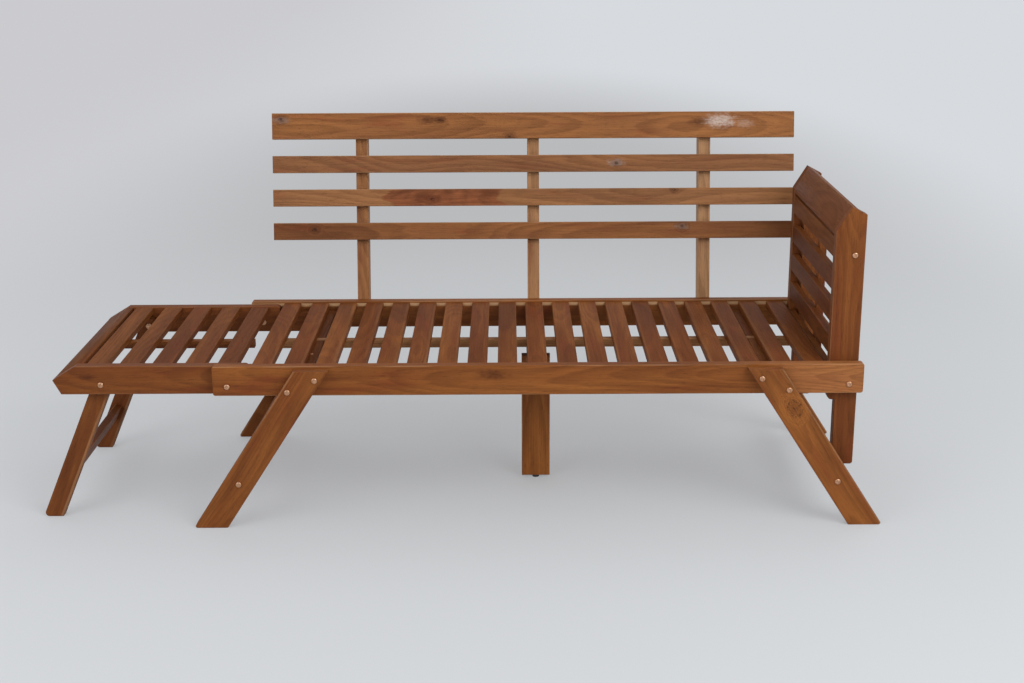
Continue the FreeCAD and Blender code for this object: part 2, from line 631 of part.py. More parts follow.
def arm_rail(arm, node, side):
    """An arm's side rail, with a narrower tail that stops under the seat slats."""
    tail_top = f"({SLAT_UNDER} - dim.tail_gap - {PIVOT_Z})"
    shoulder = ("-dim.shoulder_reach", ARM_SEAT_EDGE)
    step = f"{ARM_SEAT_EDGE} - {tail_top} - 2 * dim.edge_ease"
    shoulder_round = f"min(dim.shoulder_round; {step})"
    tail = ("-dim.tail_reach", "-dim.arm_outer")
    corners = [tail, ("dim.arm_reach - dim.outer_cut", "-dim.arm_outer"),
               ("dim.arm_reach", "dim.tip_height - dim.arm_outer"),
               (CAP_ROOT_X, ARM_SEAT_EDGE), shoulder, ("-dim.shoulder_reach", tail_top),
               ("-dim.tail_reach", tail_top)]
    rounds = [([shoulder], shoulder_round), ([tail], "dim.tail_round")]
    rail = side_board(node, corners, "dim.arm_rail_thickness", rounds)
    inward = arm.local_inward(side)
    holes = new_sketch(rail, "holes")
    draw_circle(holes, "0", "0", PIVOT_HOLE)
    draw_circle(holes, "dim.arm_leg_reach", ARM_LEG_PIVOT_Z, PIVOT_HOLE)
    cut_through(rail, holes, "dim.arm_rail_thickness")
    recess = face_sketch(rail, "recess", "dim.arm_rail_thickness", inward)
    draw_flats(recess, "0", "0", NUT_RECESS, NUT_FLATS)
    cut_from_face(rail, recess, NUT_RECESS_DEPTH, inward)
    mortises = face_sketch(rail, "mortises", "dim.arm_rail_thickness", inward)
    for number in range(ARM_SLATS):
        mortise(mortises, arm_slat_x(number), ARM_SLAT_Z, "dim.arm_slat_width",
                "dim.arm_slat_thickness")
    low_x, low_z, high_x, high_z = cap_tenon("dim.glue_gap")
    draw_outline(mortises, [on_cap(low_x, low_z), on_cap(high_x, low_z), on_cap(high_x, high_z),
                            on_cap(low_x, high_z)])
    cut_from_face(rail, mortises, "dim.tenon_length + dim.glue_gap", inward)
    place(rail, arm.base(y=f"{side} * {ARM_Y}"), arm.turn)
    return keep(rail, node)


ARM_SLAT_Z = f"({ARM_SLAT_UNDER} + dim.arm_slat_thickness / 2)"


def arm_slat_x(number):
    return f"(dim.first_arm_slat + {number} * dim.arm_slat_pitch)"


def cap_tenon(gap="0"):
    """The cap's tenon, from its seat-side edge down the slope and in from its face."""
    return (f"(2 * dim.tenon_inset - {gap})", f"(dim.tenon_skin + 1 - dim.cap_thickness - {gap})",
            f"({CAP_SLOPE} - 2 * dim.tenon_inset + {gap})", f"(-dim.tenon_skin - 1 + {gap})")


def on_cap(down, out):
    """A place on the cap's section, in the arm's own frame."""
    return (f"{CAP_ROOT_X} + {down} * {CAP_COS} + {out} * {CAP_SIN}",
            f"{ARM_SEAT_EDGE} - {down} * {CAP_SIN} + {out} * {CAP_COS}")


def arm_cap(arm, node):
    """The board across the end of an arm, its face flush with the rails' slanting cut."""
    section = ("0", "-dim.cap_thickness", f"{CAP_SLOPE} + dim.cap_overhang", "0")
    cap = lath(node, section, f"2 * {ARM_INNER_Y}", cap_tenon())
    slope = math.degrees(math.atan2(value(CAP_FALL), value("dim.inner_cut")))
    turned = arm.turn.multiply(Rotation(Vector(0, 1, 0), slope))
    place(cap, arm.base(CAP_ROOT_X, ARM_SEAT_EDGE), turned)
    keep(cap, node)


def arm_slats(arm, node):
    section, tenon = centred("dim.arm_slat_width", "dim.arm_slat_thickness")
    slats = []
    for number in range(ARM_SLATS):
        slat = lath(f"{arm.side}_arm_slat_{number + 1}", section, f"2 * {ARM_INNER_Y}", tenon)
        place(slat, arm.base(arm_slat_x(number), ARM_SLAT_Z), arm.turn)
        slats.append(slat)
    group(node, slats)


def arm_spine(arm, node):
    """The lengthwise rail under the arm's slats, cut at a slant to meet the cap."""
    start = f"({arm_slat_x(0)} - dim.arm_slat_width / 2 - dim.arm_spine_overhang)"
    low = f"({ARM_SLAT_UNDER} - dim.arm_spine_height)"
    behind_cap = f"({CAP_ROOT_X} - dim.cap_thickness * {CAP_SIN})"
    cap_back = f"({ARM_SEAT_EDGE} - dim.cap_thickness * {CAP_COS})"
    meets = [f"({behind_cap} + ({cap_back} - {height}) * {CAP_COS} / {CAP_SIN})"
             for height in (low, ARM_SLAT_UNDER)]
    corners = [(start, low), (meets[0], low), (meets[1], ARM_SLAT_UNDER), (start, ARM_SLAT_UNDER)]
    rail = side_board(node, corners, "dim.spine_width")
    place(rail, arm.base(), arm.turn)
    keep(rail, node)


def arm_leg(arm, node, side):
    """A folding leg; x runs from its pivot to the foot, +z is the side it opens towards."""
    half = "(dim.arm_leg_width / 2)"
    lean_cos, lean_sin = "cos(dim.arm_leg_lean)", "sin(dim.arm_leg_lean)"
    head = (f"(({ARM_SLAT_UNDER} - dim.arm_leg_stop_gap - {ARM_LEG_PIVOT_Z}"
            f" - {half} * {lean_sin}) / {lean_cos})")
    foot = [f"(({PIVOT_Z} + {ARM_LEG_PIVOT_Z} {sign} {half} * {lean_sin}) / {lean_cos})"
            for sign in "-+"]
    round_end = (f"-{head}", f"-{half}")
    toe = (foot[1], half)
    corners = [round_end, (foot[0], f"-{half}"), toe, (f"-{head}", half)]
    rounds = [([round_end], half), ([toe], "dim.toe_round")]
    leg = side_board(node, corners, "dim.arm_leg_thickness", rounds)
    inward = arm.local_inward(side)
    hole = draw_circle(new_sketch(leg, "hole"), "0", "0", PIVOT_HOLE)
    cut_through(leg, hole, "dim.arm_leg_thickness")
    recess = face_sketch(leg, "recess", "dim.arm_leg_thickness", inward)
    draw_flats(recess, "0", "0", NUT_RECESS, NUT_FLATS)
    cut_from_face(leg, recess, NUT_RECESS_DEPTH, inward)
    opening = face_sketch(leg, "mortise", "dim.arm_leg_thickness", inward)
    mortise(opening, "dim.arm_stretcher_reach", "dim.arm_stretcher_offset",
            "dim.arm_stretcher_width", "dim.arm_stretcher_thickness")
    cut_from_face(leg, opening, "dim.tenon_length + dim.glue_gap", inward)
    place(leg, arm.base("dim.arm_leg_reach", ARM_LEG_PIVOT_Z, f"{side} * {ARM_LEG_Y}"),
          arm.leg_turn)
    keep(leg, node)


def arm_leg_stretcher(arm, node):
    """The bar between an arm's two legs; its section is drawn in the legs' own frame."""
    half_width, half_deep = "dim.arm_stretcher_width / 2", "dim.arm_stretcher_thickness / 2"
    reach, offset = "dim.arm_stretcher_reach", "dim.arm_stretcher_offset"
    section = (f"{reach} - {half_width}", f"{offset} - {half_deep}",
               f"{reach} + {half_width}", f"{offset} + {half_deep}")
    tenon = (f"{section[0]} + dim.tenon_inset", f"{section[1]} + dim.tenon_skin",
             f"{section[2]} - dim.tenon_inset", f"{section[3]} - dim.tenon_skin")
    bar = lath(node, section, f"2 * {ARM_LEG_INNER_Y}", tenon)
    place(bar, arm.base("dim.arm_leg_reach", ARM_LEG_PIVOT_Z), arm.leg_turn)
    keep(bar, node)


def bolt(name, diameter, length):
    """A low-headed bolt along +Y whose head rests at y = 0, drawn with twelve flats."""
    body = doc.addObject("PartDesign::Body", name)
    head = draw_flats(new_sketch(body, "head"), "0", "0", "dim.head_diameter / 2", BOLT_FLATS)
    feature = pad(body, head, "dim.head_height", "One side")
    feature.setExpression("TaperAngle", "-atan(dim.head_slope / dim.head_height)")
    shank = draw_flats(new_sketch(body, "shank"), "0", "0", f"{diameter} / 2", BOLT_FLATS)
    pad(body, shank, length, "One side", reverse=True)
    return body


def hexagon_nut():
    nut = doc.addObject("PartDesign::Body", "hexagon_nut")
    sketch = draw_flats(new_sketch(nut, "outline"), "0", "0", NUT_CORNER, NUT_FLATS)
    draw_flats(sketch, "0", "0", "dim.pivot_diameter / 2", BOLT_FLATS)
    pad(nut, sketch, "dim.nut_thickness", "One side", reverse=True)
    return nut


def fasteners(node, pattern, places, roll=Rotation()):
    """Copies of one fastener, rolled about Y; each place is x, y, z and if it points forward."""
    copies = []
    for number, (across, y, up, to_front) in enumerate(places, 1):
        copy = doc.addObject("App::Link", f"{node}_{number}")
        copy.LinkedObject = pattern
        copy.LinkTransform = False
        facing = Rotation(Vector(0, 0, 1), 180 if to_front else 0)
        place(copy, (across, y, up), roll.multiply(facing))
        copies.append(copy)
    group(node, copies)


def both_sides(across, y, up):
    """The same place at the front and the back, pointing inwards."""
    return [(across, f"-({y})", up, False), (across, y, up, True)]


def fixed_bolts():
    """Three bolts in each main leg, and two from behind in each upright."""
    pattern = bolt("fixed_bolt", "dim.bolt_diameter", "dim.bolt_length")
    places = []
    for end in ("-", ""):
        for across, up in RAIL_BOLTS + [STRETCHER_BOLT]:
            places += both_sides(f"{end}{across}", f"({HALF_DEPTH} + dim.leg_thickness)", up)
    fasteners("leg_bolts", pattern, places)
    fasteners("upright_bolts", pattern, [
        (f"{place_along} * dim.upright_spacing", COUNTERBORE_Y, height, True)
        for place_along in BACK_UPRIGHTS.values() for height in UPRIGHT_BOLT_HEIGHTS])


def arm_pivots(arm, pattern, nut):
    """The two bolts an arm turns on; they turn with it, held by nuts sunk in its rails."""
    across, _, up = arm.base()
    nut_y = f"({ARM_INNER_Y} + dim.nut_thickness + dim.nut_sink)"
    fasteners(f"{arm.side}_arm_pivot_bolts", pattern, both_sides(across, HALF_DEPTH, up), arm.roll)
    fasteners(f"{arm.side}_arm_pivot_nuts", nut, both_sides(across, nut_y, up), arm.roll)


def arm_leg_pivots(arm, pattern, nut):
    """The two bolts an arm's legs turn on; they turn with the legs, held by sunk nuts."""
    across, _, up = arm.base("dim.arm_leg_reach", ARM_LEG_PIVOT_Z)
    head_y = f"({INNER_Y} - dim.arm_gap)"
    nut_y = f"({ARM_LEG_INNER_Y} + dim.nut_thickness + dim.nut_sink)"
    fasteners(f"{arm.side}_arm_leg_bolts", pattern, both_sides(across, head_y, up), arm.leg_roll)
    fasteners(f"{arm.side}_arm_leg_nuts", nut, both_sides(across, nut_y, up), arm.leg_roll)


def build():
    fill_sheet()
    main_rail("front_rail", FRONT)
    main_rail("back_rail", BACK)
    seat_slats()
    spine()
    for side, sign, end in (("left", "-", -1), ("right", "", 1)):
        cross_member(f"{side}_cross_member", f"{sign}{MEMBER_X}")
        main_leg(f"{side}_front_leg", end, FRONT)
        main_leg(f"{side}_back_leg", end, BACK)
        leg_stretcher(f"{side}_leg_stretcher", sign)
    centre_beam()
    centre_leg()
    centre_glide()
    for node, place_along in BACK_UPRIGHTS.items():
        upright(node, place_along)
    for number in range(LOWER_BACK_SLATS + 1):
        back_slat(f"back_slat_{number + 1}", number)
    fixed_bolts()
    nut = hexagon_nut()
    arm_bolt = bolt("arm_pivot_bolt", "dim.pivot_diameter", "(dim.rail_thickness"
                    " + dim.arm_gap + dim.arm_rail_thickness - dim.nut_sink)")
    leg_bolt = bolt("leg_pivot_bolt", "dim.pivot_diameter", "(dim.arm_rail_thickness"
                    " + dim.arm_leg_gap + dim.arm_leg_thickness - dim.nut_sink)")
    for arm in (Arm("left"), Arm("right")):
        arm_rail(arm, f"{arm.side}_arm_front_rail", FRONT)
        arm_rail(arm, f"{arm.side}_arm_back_rail", BACK)
        arm_cap(arm, f"{arm.side}_arm_cap")
        arm_slats(arm, f"{arm.side}_arm_slats")
        arm_spine(arm, f"{arm.side}_arm_centre_rail")
        arm_leg(arm, f"{arm.side}_arm_front_leg", FRONT)
        arm_leg(arm, f"{arm.side}_arm_back_leg", BACK)
        arm_leg_stretcher(arm, f"{arm.side}_arm_leg_stretcher")
        arm_pivots(arm, arm_bolt, nut)
        arm_leg_pivots(arm, leg_bolt, nut)
    doc.recompute()


def check():
    """Stop before writing anything if a feature failed or a sub-part is empty or unsound."""
    for item in doc.Objects:
        if "Invalid" in item.State or "Error" in item.State:
            raise RuntimeError(f"{item.Name} failed: {item.State}")
    for item in nodes:
        if item.Shape.isNull() or not item.Shape.isValid() or not item.Shape.Solids:
            raise RuntimeError(f"{item.Label} has no sound shape")


def write():
    os.makedirs("parts", exist_ok=True)
    for item in nodes:
        item.Shape.exportStep(os.path.join("parts", f"{item.Label}.step"))
    print(len(nodes), "sub-parts,", sum(len(item.Shape.Solids) for item in nodes), "solids")


build()
check()
write()
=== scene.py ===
from functools import cached_property
from math import atan2, cos, hypot, pi, radians, sin

import bmesh
import bpy
from mathutils import Matrix, Vector


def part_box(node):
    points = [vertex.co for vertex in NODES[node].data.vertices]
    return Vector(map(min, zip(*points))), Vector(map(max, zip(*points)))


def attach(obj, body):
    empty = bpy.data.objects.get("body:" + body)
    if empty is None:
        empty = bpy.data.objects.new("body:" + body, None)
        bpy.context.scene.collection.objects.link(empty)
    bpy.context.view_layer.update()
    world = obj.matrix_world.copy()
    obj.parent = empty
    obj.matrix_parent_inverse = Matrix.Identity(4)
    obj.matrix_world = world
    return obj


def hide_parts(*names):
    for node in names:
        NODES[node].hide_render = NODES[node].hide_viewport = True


# The looks of a slatted hardwood bench: oiled boards, each with its own piece of grain, and
# yellow plated bolts, nuts, washers and screws. Metres, in the frame's own axes.

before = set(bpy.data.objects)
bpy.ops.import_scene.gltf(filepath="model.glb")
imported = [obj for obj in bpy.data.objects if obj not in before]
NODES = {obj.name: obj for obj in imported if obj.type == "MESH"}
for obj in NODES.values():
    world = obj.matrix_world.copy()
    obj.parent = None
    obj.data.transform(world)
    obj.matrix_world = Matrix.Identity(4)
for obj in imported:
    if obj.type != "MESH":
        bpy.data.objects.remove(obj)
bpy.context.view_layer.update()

X = Vector((1, 0, 0))
Y = Vector((0, 1, 0))
Z = Vector((0, 0, 1))
SIDES = {"left": -1, "right": 1}


def paint(red, green, blue):
    """A colour from a screen's values of 0 to 255, freed of the screen's own curve."""
    def straighten(value):
        part = value / 255
        return part / 12.92 if part <= 0.04045 else ((part + 0.055) / 1.055) ** 2.4
    return (straighten(red), straighten(green), straighten(blue), 1)


def clear_selection():
    bpy.ops.object.select_all(action="DESELECT")


def pick(*pieces):
    """Select these objects and no others, with the first as the active one."""
    clear_selection()
    for piece in pieces:
        piece.select_set(True)
    bpy.context.view_layer.objects.active = pieces[0]


# Shader arithmetic

class Flow:
    """A shader socket that ordinary arithmetic works on."""

    def __init__(self, finish, socket):
        self.finish = finish
        self.socket = socket

    def math(self, operation, *values):
        return self.finish.node("ShaderNodeMath", {"operation": operation},
                                dict(enumerate(values)))

    def __add__(self, other):
        return self.math("ADD", self, other)

    def __sub__(self, other):
        return self.math("SUBTRACT", self, other)

    def __rsub__(self, other):
        return self.math("SUBTRACT", other, self)

    def __mul__(self, other):
        return self.math("MULTIPLY", self, other)

    def __truediv__(self, other):
        return self.math("DIVIDE", self, other)

    def __abs__(self):
        return self.math("ABSOLUTE", self)

    def root(self):
        return self.math("SQRT", self)

    def nearest_whole(self):
        return self.math("ROUND", self)

    def fraction(self):
        return self.math("FRACT", self)

    def at_least(self, other):
        return self.math("MAXIMUM", self, other)

    def rise(self, low, high):
        """0 below low, 1 above high and a smooth curve between; low may be the larger."""
        return self.finish.node("ShaderNodeMapRange", {"interpolation_type": "SMOOTHSTEP"},
                                {"Value": self, "From Min": low, "From Max": high})


class Finish:
    """A material whose nodes are added one after another."""

    def __init__(self, name):
        self.material = bpy.data.materials.new(name)
        self.material.use_nodes = True
        self.tree = self.material.node_tree
        self.shader = self.tree.nodes["Principled BSDF"]

    @classmethod
    def of_world(cls, world):
        finish = cls.__new__(cls)
        finish.tree = world.node_tree
        return finish

    def feed(self, socket, value):
        """Link a flow to a socket, or set the socket to a value."""
        if isinstance(value, Flow):
            self.tree.links.new(value.socket, socket)
        else:
            socket.default_value = value

    def node(self, kind, settings, inputs, output=0):
        """Add a node: its settings first, then the values or links of its sockets."""
        made = self.tree.nodes.new(kind)
        for key, setting in settings.items():
            setattr(made, key, setting)
        for key, value in inputs.items():
            self.feed(made.inputs[key], value)
        return Flow(self, made.outputs[output])

    def blend(self, share, first, second):
        """A colour between two: first where share is 0, second where it is 1."""
        return self.node("ShaderNodeMix", {"data_type": "RGBA"},
                         {0: share, 6: first, 7: second}, 2)

    def point(self, x, y, z):
        return self.node("ShaderNodeCombineXYZ", {}, {0: x, 1: y, 2: z})

    def parts(self, vector):
        return [self.node("ShaderNodeSeparateXYZ", {}, {0: vector}, k) for k in range(3)]

    def place(self):
        """Where on the bench each point of the surface is."""
        return self.node("ShaderNodeTexCoord", {}, {}, "Object")

    def noise(self, vector, scale=1.0, detail=2.0, roughness=0.5):
        return self.node("ShaderNodeTexNoise", {}, {
            "Vector": vector, "Scale": scale, "Detail": detail, "Roughness": roughness})

    def chance(self, number):
        """Three numbers from 0 to 1 that depend on number alone."""
        colour = self.node("ShaderNodeTexWhiteNoise", {"noise_dimensions": "1D"},
                           {"W": number}, 1)
        return self.parts(colour)

    def bump(self, height, strength, distance):
        normal = self.node("ShaderNodeBump", {}, {
            "Height": height, "Strength": strength, "Distance": distance})
        self.feed(self.shader.inputs["Normal"], normal)

    def show(self, **inputs):
        """Feed the shader's sockets, named with _ for each space, and give the material."""
        for name, value in inputs.items():
            self.feed(self.shader.inputs[name.replace("_", " ")], value)
        return self.material


# Wood

GOLDEN = paint(154, 94, 44)
RUSSET = paint(118, 64, 29)
CHERRY = paint(134, 62, 36)
UMBER = paint(72, 36, 17)
KNOT_BROWN = paint(38, 22, 16)
# Paler wood for real sapwood, and for painted highlights on edges and under a rail's upper edge
SAPWOOD = paint(194, 156, 116)
BLOOM = paint(196, 178, 166)
# Painted light: the paler tone of a rail's brighter end
HONEY = paint(188, 126, 78)

# Growth rings run round a heart that lies behind the board and wanders to and fro.
RING_SPACING = 0.0052
HEART_DEPTH = 0.03
HEART_SPREAD = 0.06
HEART_WANDER = 0.05
HEART_TILT = 0.07

# Each board takes its piece of grain from elsewhere in the noise.
LUCK_START = 0.37
GRAIN_JUMP = 37

# How strongly each layer of the wood shows, where it is at its fullest.
BROAD_SWING = 1.7
BLUSH_SHARE = 0.35
LATE_SHARE = 0.26
FIBRE_SHARE = 0.25
PORE_SHARE = 0.4
END_SHARE = 0.5
# The next two lay painted light: a rail's brighter end and a highlight strip under a rail's upper
# edge.
HONEY_SHARE = 0.42
LIP_SHARE = 0.7

# Marks are longer along the grain than across it. Rings crowd together round a knot.
KNOT_STRETCH = 0.72
SMUDGE_STRETCH = 0.36
BLOOM_STRETCH = 0.45
KNOT_CROWDING = 1.4

# The layers of a dark stretch curve like flames.
FLAME_LENGTH = 1.9
FLAME_ROUND = 0.00016
FLAME_RAGGED = 0.07
FLAME_FADE = 0.012

# Distances over which a look comes in: the painted light on a rail's brighter end, the paler
# long edges, partly rubbing and partly painted highlight, and a painted highlight strip that
# lies just under a rail's upper edge on its face.
HONEY_FADE = 0.09
HONEY_RAGGED = 0.06
EDGE_FADE = 0.0026
EDGE_WORN = 0.0004
LIP_BOTTOM = (0.014, 0.009)
LIP_TOP = (0.0035, 0.005)
LIP_FACE = (0.0015, 0.0005)

# How deep the relief of the grain is
GRAIN_RELIEF = 0.0004


class Board:
    """A board's own directions, the noise that follows its grain, and its colour so far."""

    def __init__(self, finish, along, facing, middle, seed, pitch):
        """Boards that lie pitch apart share a material, and each gets its own grain."""
        self.finish = finish
        self.along = along
        self.seed = seed
        self.colour = GOLDEN
        turn = Matrix((along, facing.cross(along), facing))
        local = finish.node("ShaderNodeMapping", {"vector_type": "POINT"}, {
            "Vector": finish.place(), "Rotation": turn.to_euler(), "Location": -(turn @ middle)})
        self.length, self.width, self.depth = finish.parts(local)
        number = 0
        if pitch is not None:
            number = (self.width / pitch).nearest_whole()
            self.width = self.width - number * pitch
        self.luck = finish.chance(number + (seed + LUCK_START))
        self.shift = self.luck[0] * GRAIN_JUMP + seed

    def noise(self, x, y, z, detail=2.0, roughness=0.5):
        return self.finish.noise(self.finish.point(x, y, z), 1.0, detail, roughness)

    def streaks(self, along, across, through=None, detail=2.0, roughness=0.5):
        """Noise with so many waves to the metre along, across and through the board."""
        if through is None:
            through = across
        return self.noise(self.length * along + self.shift, self.width * across,
                          self.depth * through, detail, roughness)

    def speckle(self, along, across, detail=2.0):
        """Noise over the board's face that is the same at every depth."""
        return self.noise(self.length * along, self.width * across, self.seed, detail)

    @cached_property
    def fibre(self):
        return self.streaks(7, 420, detail=3.0, roughness=0.6)

    @cached_property
    def jitter(self):
        return self.streaks(4, 60)

    @cached_property
    def blush(self):
        return self.streaks(6, 40, 36, detail=3.0)

    @cached_property
    def ragged(self):
        return self.speckle(90, 150)

    @cached_property
    def speck(self):
        return self.speckle(170, 260, detail=2.5)

    def lay(self, colour, share):
        """Lay a colour over the board's own, as strongly as share says."""
        self.colour = self.finish.blend(share, self.colour, colour)

    def away_from(self, spot, stretch):
        """Distance from a spot on the board's face, shorter along the grain by stretch."""
        run = (self.length - spot[0]) * stretch
        aside = self.width - spot[1]
        return (run * run + aside * aside).root() + (self.ragged - 0.5) * spot[2]


def heart_distance(board):
    """Distance from the tree's heart, round which the growth rings lie."""
    wander = board.streaks(1.3, 3, detail=1.5)
    swing = board.noise(board.length * 2.1, board.shift, board.width * 5, 1.0)
    sideways = board.width - (board.luck[1] - 0.5) * HEART_SPREAD + (wander - 0.5) * HEART_WANDER
    tilt = board.length * (board.luck[0] - 0.5) * HEART_TILT
    inward = (board.depth + HEART_DEPTH + board.luck[2] * HEART_SPREAD + tilt
              + (swing - 0.5) * HEART_WANDER)
    return (sideways * sideways + inward * inward).root()


def late_wood(board, radius):
    """1 in the dark late part of each growth ring, 0 in the paler early part."""
    spacing = board.noise(radius * 45, board.shift, board.length * 0.4, 1.0)
    ring = (radius / RING_SPACING + board.jitter * 0.9 + spacing * 3).fraction()
    return ring.rise(0.1, 0.85) * ring.rise(1.0, 0.88)


def heartwood(board, start, end):
    """A darker, redder stretch of the board whose layers curve like flames."""
    curve = (board.width * board.width + FLAME_ROUND).root() * FLAME_LENGTH
    tip = board.length - curve + (board.jitter - 0.5) * FLAME_RAGGED
    body = tip.rise(start, start + FLAME_FADE) * tip.rise(end + FLAME_FADE, end)
    layers = board.noise(tip * 26, board.width * 22, board.seed, 2.5)
    board.lay(CHERRY, body * 0.55)
    board.lay(UMBER, body * layers.rise(0.4, 0.65) * 0.5)


def honeyed(board, start):
    """Painted light: paler wood from a place on along the board, with a ragged start."""
    ragged_length = board.length + (board.jitter - 0.5) * HONEY_RAGGED
    board.lay(HONEY, ragged_length.rise(start, start + HONEY_FADE) * HONEY_SHARE)


def smudged(board, smudge):
    """A dark cloud without a core."""
    cloud = board.away_from(smudge, SMUDGE_STRETCH).rise(smudge[2], 0.0)
    board.lay(UMBER, cloud * (board.speck * 0.5 + 0.45))


def bloomed(board, bloom):
    """A pale grey bloom, solid in its middle and broken up by the fibres round it."""
    size, strength = bloom[2:]
    frayed = (board.fibre - 0.5) * size * 0.6
    distance = board.away_from(bloom, BLOOM_STRETCH) + frayed
    patchy = (board.speck * 0.7 + board.fibre * 0.3).rise(0.3, 0.58)
    solid = distance.rise(size * 0.8, size * 0.15)
    reach = distance.rise(size, size * 0.4)
    board.lay(BLOOM, reach * (patchy * 0.55 + solid * 0.4) * strength)


def speckled_knot(board, distance, size):
    """A dark broken core in a smudge that fades into the board."""
    smudge = distance.rise(size * 3.4, size * 0.3) * (board.speck * 0.7 + 0.25)
    board.lay(UMBER, smudge)
    core = distance.rise(size, size * 0.2) * board.speck.rise(0.35, 0.55)
    board.lay(KNOT_BROWN, core * 0.75)


def ring_knot(board, distance, size):
    """A broken dark ring round wood darker than the board, with dark specks in its middle."""
    inside = distance.rise(size * 1.5, size * 0.2)
    board.lay(UMBER, inside * 0.4)
    edge = abs(distance - size).rise(size * 0.4, size * 0.05) * board.speck.rise(0.42, 0.6)
    middle = distance.rise(size * 0.7, size * 0.1) * board.speck.rise(0.5, 0.62)
    board.lay(KNOT_BROWN, edge.at_least(middle) * 0.6)


def lip(board, half):
    """1 in a strip under the upper edge of the board's face, where a highlight is painted."""
    half_width, half_depth = half
    above_bottom = board.width.rise(half_width - LIP_BOTTOM[0], half_width - LIP_BOTTOM[1])
    on_face = board.depth.rise(half_depth - LIP_FACE[0], half_depth - LIP_FACE[1])
    below_top = board.width.rise(half_width - LIP_TOP[0], half_width - LIP_TOP[1])
    return above_bottom * on_face * below_top


def rubbed_edges(board, half):
    """1 in patches of the board's four long edges: partly rubbing, partly painted highlight."""
    near_side = abs(board.width).rise(half[0] - EDGE_FADE, half[0] - EDGE_WORN)
    near_face = abs(board.depth).rise(half[1] - EDGE_FADE, half[1] - EDGE_WORN)
    return near_side * near_face * board.blush.rise(0.35, 0.6)


def sawn_ends(board):
    """1 on the faces that look along the grain."""
    normal = board.finish.node("ShaderNodeTexCoord", {}, {}, "Normal")
    lined_up = board.finish.node("ShaderNodeVectorMath", {"operation": "DOT_PRODUCT"},
                                 {0: normal, 1: board.along}, "Value")
    return abs(lined_up).rise(0.8, 0.97)


def wood(name, along, facing, middle, seed, half, tone=0.5, spread=0.25, pitch=None,
         knots=(), rings=(), blooms=(), smudges=(), hearts=(), figure=0.4, sap=0.0, age=0.0,
         wear=0.35, sheen=0.11, pale_lip=False, honey_from=None):
    """Oiled hardwood. Knots, ring knots, grey blooms and smudges are (along, across, size) from
    the board's middle, a bloom with its strength too, and hearts are dark stretches (start,
    end). Half is the board's half width and half depth, tone goes from golden at 0 to russet at
    1, spread is how far boards differ, figure darkens its broad bands, sap pales the wood,
    age darkens it all evenly as painted shade, wear pales its edges
    as rubbing and painted highlight, sheen is how much it shines, pale_lip paints
    a highlight strip under the upper edge, and from honey_from on along the board the wood is
    paler as painted light."""
    finish = Finish(name)
    board = Board(finish, along, facing, middle, seed, pitch)

    radius = heart_distance(board)
    found = []
    for kind, spots in ((speckled_knot, knots), (ring_knot, rings)):
        for spot in spots:
            size = spot[2]
            distance = board.away_from(spot, KNOT_STRETCH)
            pull = distance.rise(size * 3, size * 0.9)
            radius = radius * (1 - pull) + distance * pull * KNOT_CROWDING
            found.append((kind, distance, size))
    late = late_wood(board, radius)
    band = board.noise(radius * 40, board.length * 1.6, board.shift, 3.0, 0.6)
    broad = board.streaks(1.7, 20, detail=3.0, roughness=0.6)
    pore = board.streaks(55, 1500, detail=1.0).rise(0.6, 0.72)

    warmth = (broad * BROAD_SWING - BROAD_SWING / 2 + (board.blush - 0.5) + tone
              + (board.luck[1] - 0.5) * 2 * spread)
    board.lay(RUSSET, warmth.rise(-0.1, 1.1))
    if sap:
        board.lay(SAPWOOD, sap)
    # Painted shade: the whole board darkened evenly.
    if age:
        board.lay(UMBER, age)
    board.lay(CHERRY, board.blush.rise(0.55, 0.75) * BLUSH_SHARE)
    board.lay(UMBER, band.rise(0.42, 0.72) * figure)
    for start, end in hearts:
        heartwood(board, start, end)
    if honey_from is not None:
        honeyed(board, honey_from)
    board.lay(UMBER, late * LATE_SHARE)
    board.lay(UMBER, board.fibre.rise(0.35, 0.75) * FIBRE_SHARE)
    board.lay(KNOT_BROWN, pore * PORE_SHARE)

    for smudge in smudges:
        smudged(board, smudge)
    for bloom in blooms:
        bloomed(board, bloom)
    for kind, distance, size in found:
        kind(board, distance, size)

    # Painted highlight: the strip of light that falls between the slats onto a rail's face.
    if pale_lip:
        board.lay(SAPWOOD, lip(board, half) * LIP_SHARE)
    # Paler long edges: partly rubbing, partly painted highlight; the rubbing also roughens them.
    worn = rubbed_edges(board, half)
    board.lay(SAPWOOD, worn * wear)
    board.lay(UMBER, sawn_ends(board) * END_SHARE)

    height = board.fibre * 0.6 + late * 0.25 - pore * 0.9
    finish.bump(height, strength=0.45, distance=GRAIN_RELIEF)
    roughness = board.fibre * 0.16 + pore * 0.2 + worn * 0.12 + 0.44
    return finish.show(Base_Color=board.colour, Roughness=roughness, Specular_IOR_Level=sheen)


def dress(material, *nodes):
    """Give a material to some of the frame's own nodes."""
    for node in nodes:
        for slot in NODES[node].material_slots:
            slot.material = material


def middle_of(node):
    low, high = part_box(node)
    return (low + high) / 2


def dress_board(node, along, facing, seed, half, **look):
    """Give one board of the frame its own wood."""
    dress(wood(f"{node}_wood", along, facing, middle_of(node), seed, half, **look), node)


# How far the side and the face of each kind of board lie from the middle of its node's box
MAIN_RAIL = (0.031, 0.011)
MAIN_LEG = (0.0294, 0.010)
SEAT_SLAT = (0.020, 0.008)
CENTRE_RAIL = (0.009, 0.010)
BATTEN = (0.018, 0.009)
BAR = (0.008, 0.017)
ARM_RAIL = (0.030, 0.011)
ARM_LEG = (0.019, 0.011)
ARM_SLAT = (0.020, 0.0075)
CAP = (0.036, 0.0125)
BACK_SLAT = (0.01975, 0.009)
TOP_SLAT = (0.030, 0.009)
UPRIGHT = (0.0135, 0.0225)

